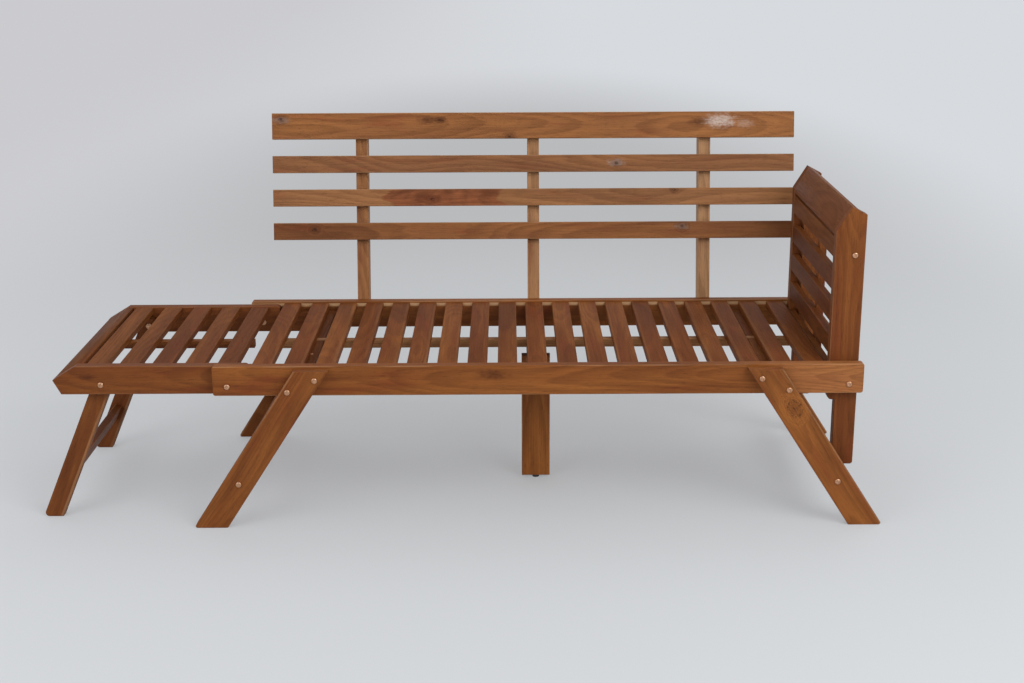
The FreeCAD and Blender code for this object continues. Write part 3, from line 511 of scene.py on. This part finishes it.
# The slats of the back are numbered from the top down.
BACK_SLATS = 4

# From the middle of one slat to the middle of the next
SEAT_SLAT_PITCH = 0.0628
ARM_SLAT_PITCH = 0.067

# How far the slanting boards lean from the vertical
MAIN_LEG_LEAN = radians(32.9)
ARM_LEG_LEAN = radians(23.3)
BACK_LEAN = radians(11.5)
UP_THE_BACK = Vector((0, sin(BACK_LEAN), cos(BACK_LEAN)))
BACK_FACING = Vector((0, -cos(BACK_LEAN), sin(BACK_LEAN)))

# The dull look of the seat and arm slats and of the frame's cross pieces
MATT = dict(wear=0.1, sheen=0.04)


def slanted(lean, sign):
    """The direction down a leg that leans out to a side of the bench."""
    return Vector((sign * sin(lean), 0, -cos(lean)))


def dress_frame():
    """The rails, seat slats, cross pieces and main legs."""
    # The front rail's right end is painted paler, as light.
    dress_board("front_rail", X, -Y, 3, MAIN_RAIL, smudges=[(-0.091, 0.012, 0.016)],
                honey_from=0.43)
    # The back rail's inner face takes a painted highlight strip under its upper edge.
    dress_board("back_rail", X, -Y, 5, MAIN_RAIL, tone=0.45, pale_lip=True)
    # The seat slats take a little painted shade.
    seat = wood("seat_slat_wood", Y, Z, middle_of("seat_slat_centre"), 11, SEAT_SLAT, tone=0.72,
                spread=0.3, pitch=SEAT_SLAT_PITCH, age=0.1, **MATT)
    dress(seat, *[node for node in NODES if node.startswith("seat_slat")])
    dress_board("centre_rail", X, Z, 17, CENTRE_RAIL, tone=0.1, sap=0.3)
    # The cross members under the seat take painted shade.
    for seed, node in enumerate(("left_cross_member", "centre_beam", "right_cross_member"), 20):
        dress_board(node, Y, Z, seed, BATTEN, tone=0.6, age=0.35, **MATT)
    dress_board("centre_leg", Z, -Y, 31, MAIN_RAIL, tone=0.35, figure=0.1)
    for seed, (side, sign) in enumerate(SIDES.items(), 41):
        down = slanted(MAIN_LEG_LEAN, sign)
        rings = [(-0.0976, 0.0079, 0.0125)] if side == "right" else []
        dress_board(f"{side}_front_leg", down, -Y, seed, MAIN_LEG, tone=0.38, figure=0.5,
                    wear=0.2, rings=rings)
        dress_board(f"{side}_back_leg", down, -Y, seed + 5, MAIN_LEG)
        dress_board(f"{side}_leg_stretcher", Y, down, seed + 9, BAR, tone=0.55)


def dress_back():
    """The four slats, each with the marks it has, and the uprights behind them."""
    looks = {
        1: dict(half=TOP_SLAT, tone=0.42, sap=0.12,
                knots=[(-0.584, 0.015, 0.006), (-0.219, 0.013, 0.0035),
                       (-0.211, 0.013, 0.0035), (-0.054, -0.027, 0.005)],
                blooms=[(0.433, 0.009, 0.022, 0.85), (0.49, 0.002, 0.014, 0.3),
                        (-0.584, 0.014, 0.011, 0.45)],
                smudges=[(-0.245, 0.013, 0.014), (0.385, 0.008, 0.013)]),
        2: dict(half=BACK_SLAT, tone=0.6, sap=0.2, knots=[(0.193, 0.0, 0.0045)],
                blooms=[(0.193, 0.001, 0.012, 0.5)]),
        3: dict(half=BACK_SLAT, tone=0.25, sap=0.25, hearts=[(-0.375, -0.11)],
                knots=[(-0.235, -0.004, 0.005), (0.327, 0.016, 0.004)]),
        4: dict(half=BACK_SLAT, tone=0.7, sap=0.12, blooms=[(0.346, 0.008, 0.01, 0.4)],
                knots=[(-0.51, 0.004, 0.006), (0.346, 0.009, 0.005)]),
    }
    for number, look in looks.items():
        dress_board(f"back_slat_{number}", X, BACK_FACING, 60 + number, **look)
    uprights = (("left", 0.22, 0.6), ("centre", 0.5, 0.3), ("right", 0.6, 0.2))
    for seed, (place, sap, tone) in enumerate(uprights, 70):
        dress_board(f"{place}_upright", UP_THE_BACK, BACK_FACING, seed, UPRIGHT, tone=tone,
                    figure=0.15, sap=sap)


def dress_arms():
    """The left arm lies along X, the right arm stands along Z."""
    # The fifth number is painted shade on each arm's slats, more on the right arm, whose inner
    # side faces away from the key lamp; the arm's rails and legs take a little painted shade too.
    for side, along, facing, seed, age in (("left", -X, Z, 80, 0.3), ("right", Z, -X, 90, 0.45)):
        leg_way = slanted(ARM_LEG_LEAN, -1) if side == "left" else -Z
        boards = {
            "front_rail": (along, -Y, ARM_RAIL, 1.05),
            "back_rail": (along, -Y, ARM_RAIL, 0.8),
            "centre_rail": (along, facing, CENTRE_RAIL, 0.6),
            "front_leg": (leg_way, -Y, ARM_LEG, 0.9),
            "back_leg": (leg_way, -Y, ARM_LEG, 0.9),
            "leg_stretcher": (Y, leg_way, BAR, 0.9),
        }
        for step, (part, (way, face, half, tone)) in enumerate(boards.items()):
            node = f"{side}_arm_{part}"
            smudges = [(0.2, -0.007, 0.009)] if node == "left_arm_front_rail" else []
            dress_board(node, way, face, seed + step, half, tone=tone, age=0.12, wear=0.2,
                        smudges=smudges)
        dress_board(f"{side}_arm_slats", Y, facing, seed + 8, ARM_SLAT, tone=0.9, spread=0.4,
                    pitch=ARM_SLAT_PITCH, age=age, **MATT)


# Metal and plastic

ZINC_DEEP = paint(190, 143, 110)
ZINC_PALE = paint(208, 165, 132)
ZINC_SCUFF = paint(140, 104, 78)
PLASTIC_DARK = paint(24, 24, 25)
PLASTIC_PALE = paint(38, 38, 40)
FINE_RELIEF = 0.0001


def plated_steel():
    """Yellow zinc plating, a little paler in rubbed places, with faint marks."""
    finish = Finish("plated_steel")
    cloud = finish.noise(finish.place(), scale=260.0, detail=3.0)
    scuff = finish.noise(finish.place(), scale=1400.0)
    colour = finish.blend(cloud.rise(0.35, 0.65), ZINC_DEEP, ZINC_PALE)
    colour = finish.blend(scuff.rise(0.6, 0.75) * 0.5, colour, ZINC_SCUFF)
    finish.bump(scuff, strength=0.15, distance=FINE_RELIEF)
    return finish.show(Base_Color=colour, Metallic=1.0, Roughness=cloud * 0.2 + 0.26)


def black_plastic():
    finish = Finish("black_plastic")
    grain = finish.noise(finish.place(), scale=2200.0)
    colour = finish.blend(grain, PLASTIC_DARK, PLASTIC_PALE)
    finish.bump(grain, strength=0.3, distance=FINE_RELIEF)
    return finish.show(Base_Color=colour, Roughness=grain * 0.15 + 0.45)


# Fasteners

# Bolts: the frame's plain head stands out by CAD_HEAD. The domed one starts where it does, and
# goes in and up by steps. Its socket is 5 mm across the flats. Shanks are given by their radius.
CAD_HEAD = 0.003
HEAD_RADIUS = 0.006
HEAD_RIM = 0.0008
DOME_STEPS = ((0.0002, 0.0006), (0.0005, 0.0006), (0.0008, 0.0004), (0.0010, 0.0002))
SOCKET_CORNER = 0.005 / 3 ** 0.5
SOCKET_DEPTH = 0.0018
FIXED_SHANK = 0.003
PIVOT_SHANK = 0.004

# Washers nearly fill the gap that they lie in.
WASHER_RADIUS = 0.009
WASHER_SHARE = 0.9

# Screws: the cross recess is given in shares of the head's radius.
SCREW_RADIUS = 0.004
SCREW_HEAD = 0.0012
CROSS_WIDTH = 0.28
CROSS_LENGTH = 1.1

# Places of the screws, across and from front to back: up into both cross members from below,
# mirrored, and one down into the left member from above.
BATTEN_SCREWS = ((0.488, -0.17), (0.490, -0.06), (0.487, 0.065), (0.489, 0.175))
TOP_SCREW = (-0.4775, -0.1124)

# Turns of the crosses, in radians: the upper screw's, for each slat further down the back, and
# for each metre across under the seat.
TOP_SCREW_TURN = 0.3
SLAT_SCREW_TURN = 0.4
BATTEN_SCREW_TURN = 50

# Widths of the softened edges
BOLT_EDGE = 0.00015
NUT_EDGE = 0.0003
WASHER_EDGE = 0.0002
SCREW_EDGE = 0.00012

ROUND = 40
HEXAGON = 6
LEVEL = 0.99
SAME_POINT = 1e-6


def solids_of(node):
    """The vertices of each separate solid in one of the frame's nodes."""
    mesh = bmesh.new()
    mesh.from_mesh(NODES[node].data)
    bmesh.ops.remove_doubles(mesh, verts=mesh.verts, dist=SAME_POINT)
    seen = set()
    solids = []
    for first in mesh.verts:
        if first in seen:
            continue
        seen.add(first)
        found = [first]
        for vertex in found:
            for edge in vertex.link_edges:
                other = edge.other_vert(vertex)
                if other not in seen:
                    seen.add(other)
                    found.append(other)
        solids.append([vertex.co.copy() for vertex in found])
    mesh.free()
    return solids


def span(points, axis):
    values = [point[axis] for point in points]
    return min(values), max(values)


class Fastener:
    """How one bolt or nut of the frame lies along Y. Outward is -1 at the front and 1 at the
    back, and the roll is where its furthest corner points."""

    def __init__(self, points):
        front, back = span(points, 1)
        self.across = sum(span(points, 0)) / 2
        self.up = sum(span(points, 2)) / 2
        self.length = back - front
        self.outward = -1 if front + back < 0 else 1
        self.outer_end = front if self.outward < 0 else back
        corner = max(points, key=self.reach)
        self.radius = self.reach(corner)
        self.roll = atan2(corner.z - self.up, corner.x - self.across)

    def reach(self, point):
        return hypot(point.x - self.across, point.z - self.up)

    def seat(self, depth=0.0):
        """The place on its own line that lies so deep below its outer end."""
        return Vector((self.across, self.outer_end - self.outward * depth, self.up))


def fasteners(node):
    return [Fastener(points) for points in solids_of(node)]


def select_level_faces(piece, way):
    """In edit mode, select the faces that look up, where way is 1, or down, where it is -1."""
    bpy.ops.mesh.select_all(action="DESELECT")
    bpy.ops.mesh.select_mode(type="FACE")
    mesh = bmesh.from_edit_mesh(piece.data)
    for face in mesh.faces:
        face.select = face.normal.z * way > LEVEL
    mesh.select_flush(True)
    bmesh.update_edit_mesh(piece.data)


def prism(sides, radius, height, middle, roll=0.0):
    """An upright prism whose middle is at a height: the start of a fastener, socket or bore."""
    clear_selection()
    bpy.ops.mesh.primitive_cylinder_add(vertices=sides, radius=radius, depth=height,
                                        location=(0, 0, middle), rotation=(0, 0, roll))
    piece = bpy.context.object
    bpy.ops.object.transform_apply()
    return piece


def soften_edges(piece, width):
    """Round the sharp edges a little, and shade the round faces smooth."""
    edge = piece.modifiers.new("edge", "BEVEL")
    edge.width = width
    edge.segments = 2
    edge.angle_limit = radians(40)
    pick(piece)
    bpy.ops.object.modifier_apply(modifier=edge.name)
    bpy.ops.object.shade_smooth_by_angle(angle=radians(35))


def subtract(piece, cutter):
    """Cut one piece with another, which is then thrown away."""
    pick(piece)
    change = piece.modifiers.new("cut", "BOOLEAN")
    change.object = cutter
    change.operation = "DIFFERENCE"
    change.solver = "EXACT"
    bpy.ops.object.modifier_apply(modifier=change.name)
    bpy.data.objects.remove(cutter)


def raise_top(piece, steps):
    """In edit mode, draw the top face in and up by each step in turn."""
    for inset, rise in steps:
        select_level_faces(piece, 1)
        bpy.ops.mesh.inset(thickness=inset)
        bpy.ops.transform.translate(value=(0, 0, rise))


def draw_shank(piece, inset, length):
    """In edit mode, draw a shank out of the bottom face."""
    select_level_faces(piece, -1)
    bpy.ops.mesh.inset(thickness=inset)
    bpy.ops.mesh.extrude_region_move(TRANSFORM_OT_translate={"value": (0, 0, -length)})


def domed_bolt(shank_radius, length):
    """A low domed bolt with a hexagon socket; its head rests on z = 0 and its shank hangs down."""
    piece = prism(ROUND, HEAD_RADIUS, HEAD_RIM, HEAD_RIM / 2)
    bpy.ops.object.mode_set(mode="EDIT")
    raise_top(piece, DOME_STEPS)
    draw_shank(piece, HEAD_RADIUS - shank_radius, length)
    bpy.ops.object.mode_set(mode="OBJECT")
    top = span([vertex.co for vertex in piece.data.vertices], 2)[1]
    subtract(piece, prism(HEXAGON, SOCKET_CORNER, 2 * SOCKET_DEPTH, top))
    soften_edges(piece, BOLT_EDGE)
    return piece


def hexagon_nut(bore, corner, thickness):
    """A hexagon nut with softened edges, lying on z = 0."""
    piece = prism(HEXAGON, corner, thickness, thickness / 2, roll=pi / 6)
    subtract(piece, prism(ROUND, bore, 2 * thickness, thickness / 2))
    soften_edges(piece, NUT_EDGE)
    return piece


def flat_washer(bore, outside, thickness):
    """A flat washer, lying on z = 0."""
    piece = prism(ROUND, outside, thickness, thickness / 2)
    subtract(piece, prism(ROUND, bore, 2 * thickness, thickness / 2))
    soften_edges(piece, WASHER_EDGE)
    return piece


def cross_screw(radius, thickness):
    """A screw's low head with a cross recess, its rim on z = 0, and a short stub of its shank."""
    piece = prism(ROUND, radius, thickness / 2, thickness / 4)
    bpy.ops.object.mode_set(mode="EDIT")
    raise_top(piece, ((radius * 0.15, thickness * 0.3), (radius * 0.25, thickness * 0.2)))
    draw_shank(piece, radius * 0.5, 2 * radius)
    bpy.ops.object.mode_set(mode="OBJECT")
    for width, breadth in ((CROSS_WIDTH, CROSS_LENGTH), (CROSS_LENGTH, CROSS_WIDTH)):
        clear_selection()
        bpy.ops.mesh.primitive_cube_add(size=1, location=(0, 0, thickness))
        cutter = bpy.context.object
        cutter.scale = (radius * width, radius * breadth, thickness * 1.1)
        bpy.ops.object.transform_apply(location=False)
        subtract(piece, cutter)
    soften_edges(piece, SCREW_EDGE)
    return piece


def copies_at(pattern, name, places, material, body, replaced=()):
    """Copies of a pattern joined as one piece; each place is where it sits, where it points
    and its roll."""
    made = []
    for seat, pointing, roll in places:
        pick(pattern)
        bpy.ops.object.duplicate(linked=False)
        copy = bpy.context.object
        turn = pointing.to_track_quat("Z", "Y").to_matrix().to_4x4()
        copy.matrix_world = Matrix.Translation(seat) @ turn @ Matrix.Rotation(roll, 4, "Z")
        bpy.ops.object.transform_apply()
        made.append(copy)
    pick(*made)
    if len(made) > 1:
        bpy.ops.object.join()
    piece = bpy.context.object
    piece.name = name
    piece.data.materials.clear()
    piece.data.materials.append(material)
    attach(piece, body)
    if replaced:
        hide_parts(*replaced)


def bolt_places(node):
    """Where each bolt's head rests and where it points: out at the front, out at the back."""
    return [(bolt.seat(CAD_HEAD), Y * bolt.outward, 0) for bolt in fasteners(node)]


def make_bolts(metal):
    """Detailed bolts in place of the frame's plain ones."""
    bodies = {"leg_bolts": "frame", "upright_bolts": "frame"}
    for side in SIDES:
        bodies[f"{side}_arm_pivot_bolts"] = f"{side}_arm"
        bodies[f"{side}_arm_leg_bolts"] = f"{side}_legs"
    for node, body in bodies.items():
        shank = PIVOT_SHANK if "arm" in node else FIXED_SHANK
        pattern = domed_bolt(shank, fasteners(node)[0].length - CAD_HEAD)
        copies_at(pattern, f"{node}_domed", bolt_places(node), metal, body, [node])
        bpy.data.objects.remove(pattern)


def make_nuts(metal):
    """Hexagon nuts in their recesses, each rolled as its recess is."""
    for side in SIDES:
        for part, body in (("arm_pivot", "arm"), ("arm_leg", "legs")):
            node = f"{side}_{part}_nuts"
            nuts = fasteners(node)
            places = [(nut.seat(), -Y * nut.outward, nut.roll) for nut in nuts]
            pattern = hexagon_nut(PIVOT_SHANK, nuts[0].radius, nuts[0].length)
            copies_at(pattern, f"{node}_hexagon", places, metal, f"{side}_{body}", [node])
            bpy.data.objects.remove(pattern)


def make_washers(metal):
    """A washer on each arm pivot, between the main rail and the arm rail."""
    rail_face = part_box("front_rail")[1].y
    arm_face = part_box("left_arm_front_rail")[0].y
    pattern = flat_washer(PIVOT_SHANK, WASHER_RADIUS, abs(arm_face - rail_face) * WASHER_SHARE)
    places = []
    for node in ("left_arm_pivot_bolts", "right_arm_pivot_bolts"):
        for seat, outward, roll in bolt_places(node):
            places.append((Vector((seat.x, outward.y * abs(rail_face), seat.z)), -outward, roll))
    copies_at(pattern, "pivot_washers", places, metal, "frame")
    bpy.data.objects.remove(pattern)


def make_screws(metal):
    """Screws from the uprights into the back slats, from the cross members up into the seat,
    and one down into the left member."""
    pattern = cross_screw(SCREW_RADIUS, SCREW_HEAD)
    places = []
    for number in range(1, BACK_SLATS + 1):
        slat = middle_of(f"back_slat_{number}")
        behind = slat - BACK_FACING * (BACK_SLAT[1] + 2 * UPRIGHT[1])
        for place in ("left", "centre", "right"):
            across = middle_of(f"{place}_upright").x
            seat = Vector((across, behind.y, behind.z))
            places.append((seat, -BACK_FACING, SLAT_SCREW_TURN * number))
    copies_at(pattern, "back_slat_screws", places, metal, "frame")
    low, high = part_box("left_cross_member")
    places = [(Vector((*TOP_SCREW, high.z)), Z, TOP_SCREW_TURN)]
    for across, front in BATTEN_SCREWS:
        for sign in SIDES.values():
            places.append((Vector((sign * across, front, low.z)), -Z, across * BATTEN_SCREW_TURN))
    copies_at(pattern, "batten_screws", places, metal, "frame")
    bpy.data.objects.remove(pattern)


# Caps of the arms

# Distances are along an arm from its pivot, and out from it towards its upper face.
ARM_PIVOT = Vector((0.631, 0, 0.300))
CAP_CORNER = (0.311, 0.038)
CAP_TIP = (0.360, 0.008)
CAP_LIP = 0.3005
CAP_TOP = 0.0372
CAP_THICKNESS = 0.018
CAP_EDGE = 0.001

# The slope falls by CAP_FALL in CAP_RUN, and the outer end comes back by OUTER_RUN in CAP_FALL.
CAP_RUN = 49
CAP_FALL = 30
OUTER_RUN = 16

# The block that a cap is cut from
BLOCK_SPARE = 0.02
BLOCK_DEPTH = 0.08


def cut_along(place, outward):
    """In edit mode, cut off what lies outside a plane and close the cut."""
    bpy.ops.mesh.select_all(action="SELECT")
    bpy.ops.mesh.bisect(plane_co=place, plane_no=outward, use_fill=True, clear_outer=True)


def cap_board(name, pivot, along, facing, slope_out):
    """A cap board: a flat lip beside the slats, the slope, and a slanting outer end in line
    with the rails' own."""
    clear_selection()
    bpy.ops.mesh.primitive_cube_add(size=1)
    piece = bpy.context.object
    piece.name = name
    length = CAP_TIP[0] + BLOCK_SPARE - CAP_LIP
    extent = [abs(along[k]) * length + abs(facing[k]) * BLOCK_DEPTH for k in range(3)]
    extent[1] = -2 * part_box("left_arm_front_rail")[1].y
    piece.scale = extent
    piece.location = (pivot + along * (CAP_LIP + length / 2)
                      + facing * (CAP_TOP - BLOCK_DEPTH / 2))
    bpy.ops.object.transform_apply()

    corner = pivot + along * CAP_CORNER[0] + facing * CAP_CORNER[1]
    tip = pivot + along * CAP_TIP[0] + facing * CAP_TIP[1]
    end_out = (along * CAP_FALL - facing * OUTER_RUN).normalized()
    bpy.ops.object.mode_set(mode="EDIT")
    cut_along(corner, slope_out)
    cut_along(corner - slope_out * CAP_THICKNESS, -slope_out)
    cut_along(tip, end_out)
    bpy.ops.object.mode_set(mode="OBJECT")
    soften_edges(piece, CAP_EDGE)
    return piece


def make_caps():
    """The cap board across each arm's end, between the arm's rails."""
    # The fifth number is painted shade on each cap.
    for side, along, facing, seed, age, sheen in (("left", -X, Z, 83, 0.45, 0.03),
                                                  ("right", Z, -X, 93, 0.15, 0.11)):
        pivot = ARM_PIVOT.copy()
        pivot.x *= SIDES[side]
        slope_out = (facing * CAP_RUN + along * CAP_FALL).normalized()
        piece = cap_board(f"{side}_arm_cap_board", pivot, along, facing, slope_out)
        piece.data.materials.clear()
        piece.data.materials.append(wood(
            f"{side}_arm_cap_wood", Y, slope_out, middle_of(f"{side}_arm_cap"), seed, CAP,
            tone=0.8, age=age, sap=0.06, wear=0.2, sheen=sheen))
        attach(piece, f"{side}_arm")
        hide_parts(f"{side}_arm_cap")


# Stage, lamps and camera

BACKDROP_LEFT = paint(203, 203, 207)
BACKDROP_RIGHT = paint(215, 218, 222)
# The tone of the painted shadow behind the bench
BEHIND_BENCH = paint(185, 186, 188)
FLOOR_TONE = paint(209, 212, 214)
SURROUND_TONE = paint(236, 237, 239)
SURROUND_STRENGTH = 0.82
FLOOR_REACH = 30.0

# The backdrop goes from its left tone to its right one between these metres to the right.
BACKDROP_TURN = (-3.0, 1.0)

# The floor shows its shadows near the bench and the plain backdrop far from it; a share of the
# backdrop's glow is also laid over the shadows, as painted light that lightens them.
SHADOW_LIFT = 0.46
SHADOW_FADE = (1.35, 3.0)

# The painted shadow on the backdrop behind the bench: metres behind the bench, how fast it
# fades to the side and to the back, and where it ends and is full.
PATCH_PLACE = 3.0
PATCH_SIDE = 0.35
PATCH_BACK = 0.06
PATCH_FADE = (1.4, 0.4)

# Each lamp has a place, a size and a power, and looks at the middle of the bench.
LAMP_AIM = Vector((0, 0, 0.35))
LAMPS = {
    "key": (Vector((2.5, -3.0, 2.9)), (2.8, 2.4), 100),
    "back": (Vector((0.2, 1.9, 3.7)), (2.6, 2.0), 12),
    "fill": (Vector((-3.0, -2.8, 2.3)), (2.6, 2.2), 42),
}

# The camera's place, its turn about Z, its tilt up from straight down, and its roll
EYE = Vector((-0.05925, -3.19893, 1.26151))
EYE_TURN = radians(-0.13)
EYE_TILT = radians(90 - 16.48)
EYE_ROLL = radians(-0.25)
LENS = 53.52
SENSOR_WIDTH = 36


def seen_rays(finish):
    """1 for the rays that show the background, 0 for the rays that light the bench."""
    rays = [finish.node("ShaderNodeLightPath", {}, {}, ray)
            for ray in ("Is Camera Ray", "Is Glossy Ray", "Is Transmission Ray")]
    return rays[0].at_least(rays[1]).at_least(rays[2])


def backdrop_tone(finish, sideways):
    """The even tone far from the bench; sideways is metres to the right at the floor's edge."""
    return finish.blend(sideways.rise(*BACKDROP_TURN), BACKDROP_LEFT, BACKDROP_RIGHT)


def studio():
    """A plain pale floor that runs, away from the bench, into a pale backdrop with a painted
    shadow behind the bench.
    """
    clear_selection()
    bpy.ops.mesh.primitive_plane_add(size=1)
    floor = bpy.context.object
    floor.name = "floor"
    floor.scale = (2 * FLOOR_REACH, 2 * FLOOR_REACH, 1)
    bpy.ops.object.transform_apply()
    finish = Finish("pale_floor")
    finish.show(Base_Color=FLOOR_TONE, Roughness=0.9)
    x, y = finish.parts(finish.place())[:2]
    far = (x * x + y * y).root().rise(*SHADOW_FADE)
    # Painted light: a share of the glow laid over the floor's shadows.
    share = far * (1 - SHADOW_LIFT) + SHADOW_LIFT
    # A painted shadow on the backdrop behind the bench
    behind = y - PATCH_PLACE
    beside = (x * x * PATCH_SIDE + behind * behind * PATCH_BACK).root()
    tone = finish.blend(beside.rise(*PATCH_FADE), backdrop_tone(finish, x), BEHIND_BENCH)
    glow = finish.node("ShaderNodeEmission", {}, {"Color": tone, "Strength": 1.0})
    lit = Flow(finish, finish.shader.outputs[0])
    mixed = finish.node("ShaderNodeMixShader", {}, {0: share * seen_rays(finish), 1: lit, 2: glow})
    finish.feed(finish.tree.nodes["Material Output"].inputs["Surface"], mixed)
    floor.data.materials.append(finish.material)


def surround():
    """An even pale surround that lights the bench softly from all sides."""
    world = bpy.context.scene.world or bpy.data.worlds.new("surround")
    bpy.context.scene.world = world
    world.use_nodes = True
    light = Finish.of_world(world)
    soft = light.node("ShaderNodeBackground", {}, {
        "Color": SURROUND_TONE, "Strength": SURROUND_STRENGTH})
    direction = light.node("ShaderNodeTexCoord", {}, {}, "Generated")
    sideways = light.parts(direction)[0] * FLOOR_REACH
    shown = light.node("ShaderNodeBackground", {}, {
        "Color": backdrop_tone(light, sideways), "Strength": 1.0})
    mixed = light.node("ShaderNodeMixShader", {}, {0: seen_rays(light), 1: soft, 2: shown})
    light.feed(light.tree.nodes["World Output"].inputs["Surface"], mixed)


def lamps():
    """Three large soft lamps: two in front, and one above and behind."""
    for name, (place, size, power) in LAMPS.items():
        bpy.ops.object.light_add(type="AREA", location=place)
        light = bpy.context.object
        light.name = name
        light.rotation_euler = (LAMP_AIM - place).to_track_quat("-Z", "Y").to_euler()
        light.data.shape = "RECTANGLE"
        light.data.size, light.data.size_y = size
        light.data.energy = power


def camera():
    """A camera at the photograph's place and angle."""
    bpy.ops.object.camera_add()
    eye = bpy.context.object
    eye.name = "eye"
    eye.matrix_world = (Matrix.Translation(EYE) @ Matrix.Rotation(EYE_TURN, 4, "Z")
                        @ Matrix.Rotation(EYE_TILT, 4, "X") @ Matrix.Rotation(EYE_ROLL, 4, "Z"))
    eye.data.sensor_width = SENSOR_WIDTH
    eye.data.lens = LENS
    bpy.context.scene.camera = eye


camera()
studio()
surround()
lamps()
dress_frame()
dress_back()
dress_arms()
plating = plated_steel()
make_bolts(plating)
make_nuts(plating)
make_washers(plating)
make_screws(plating)
make_caps()
dress(black_plastic(), "centre_glide")
bpy.context.scene.view_settings.view_transform = "Standard"
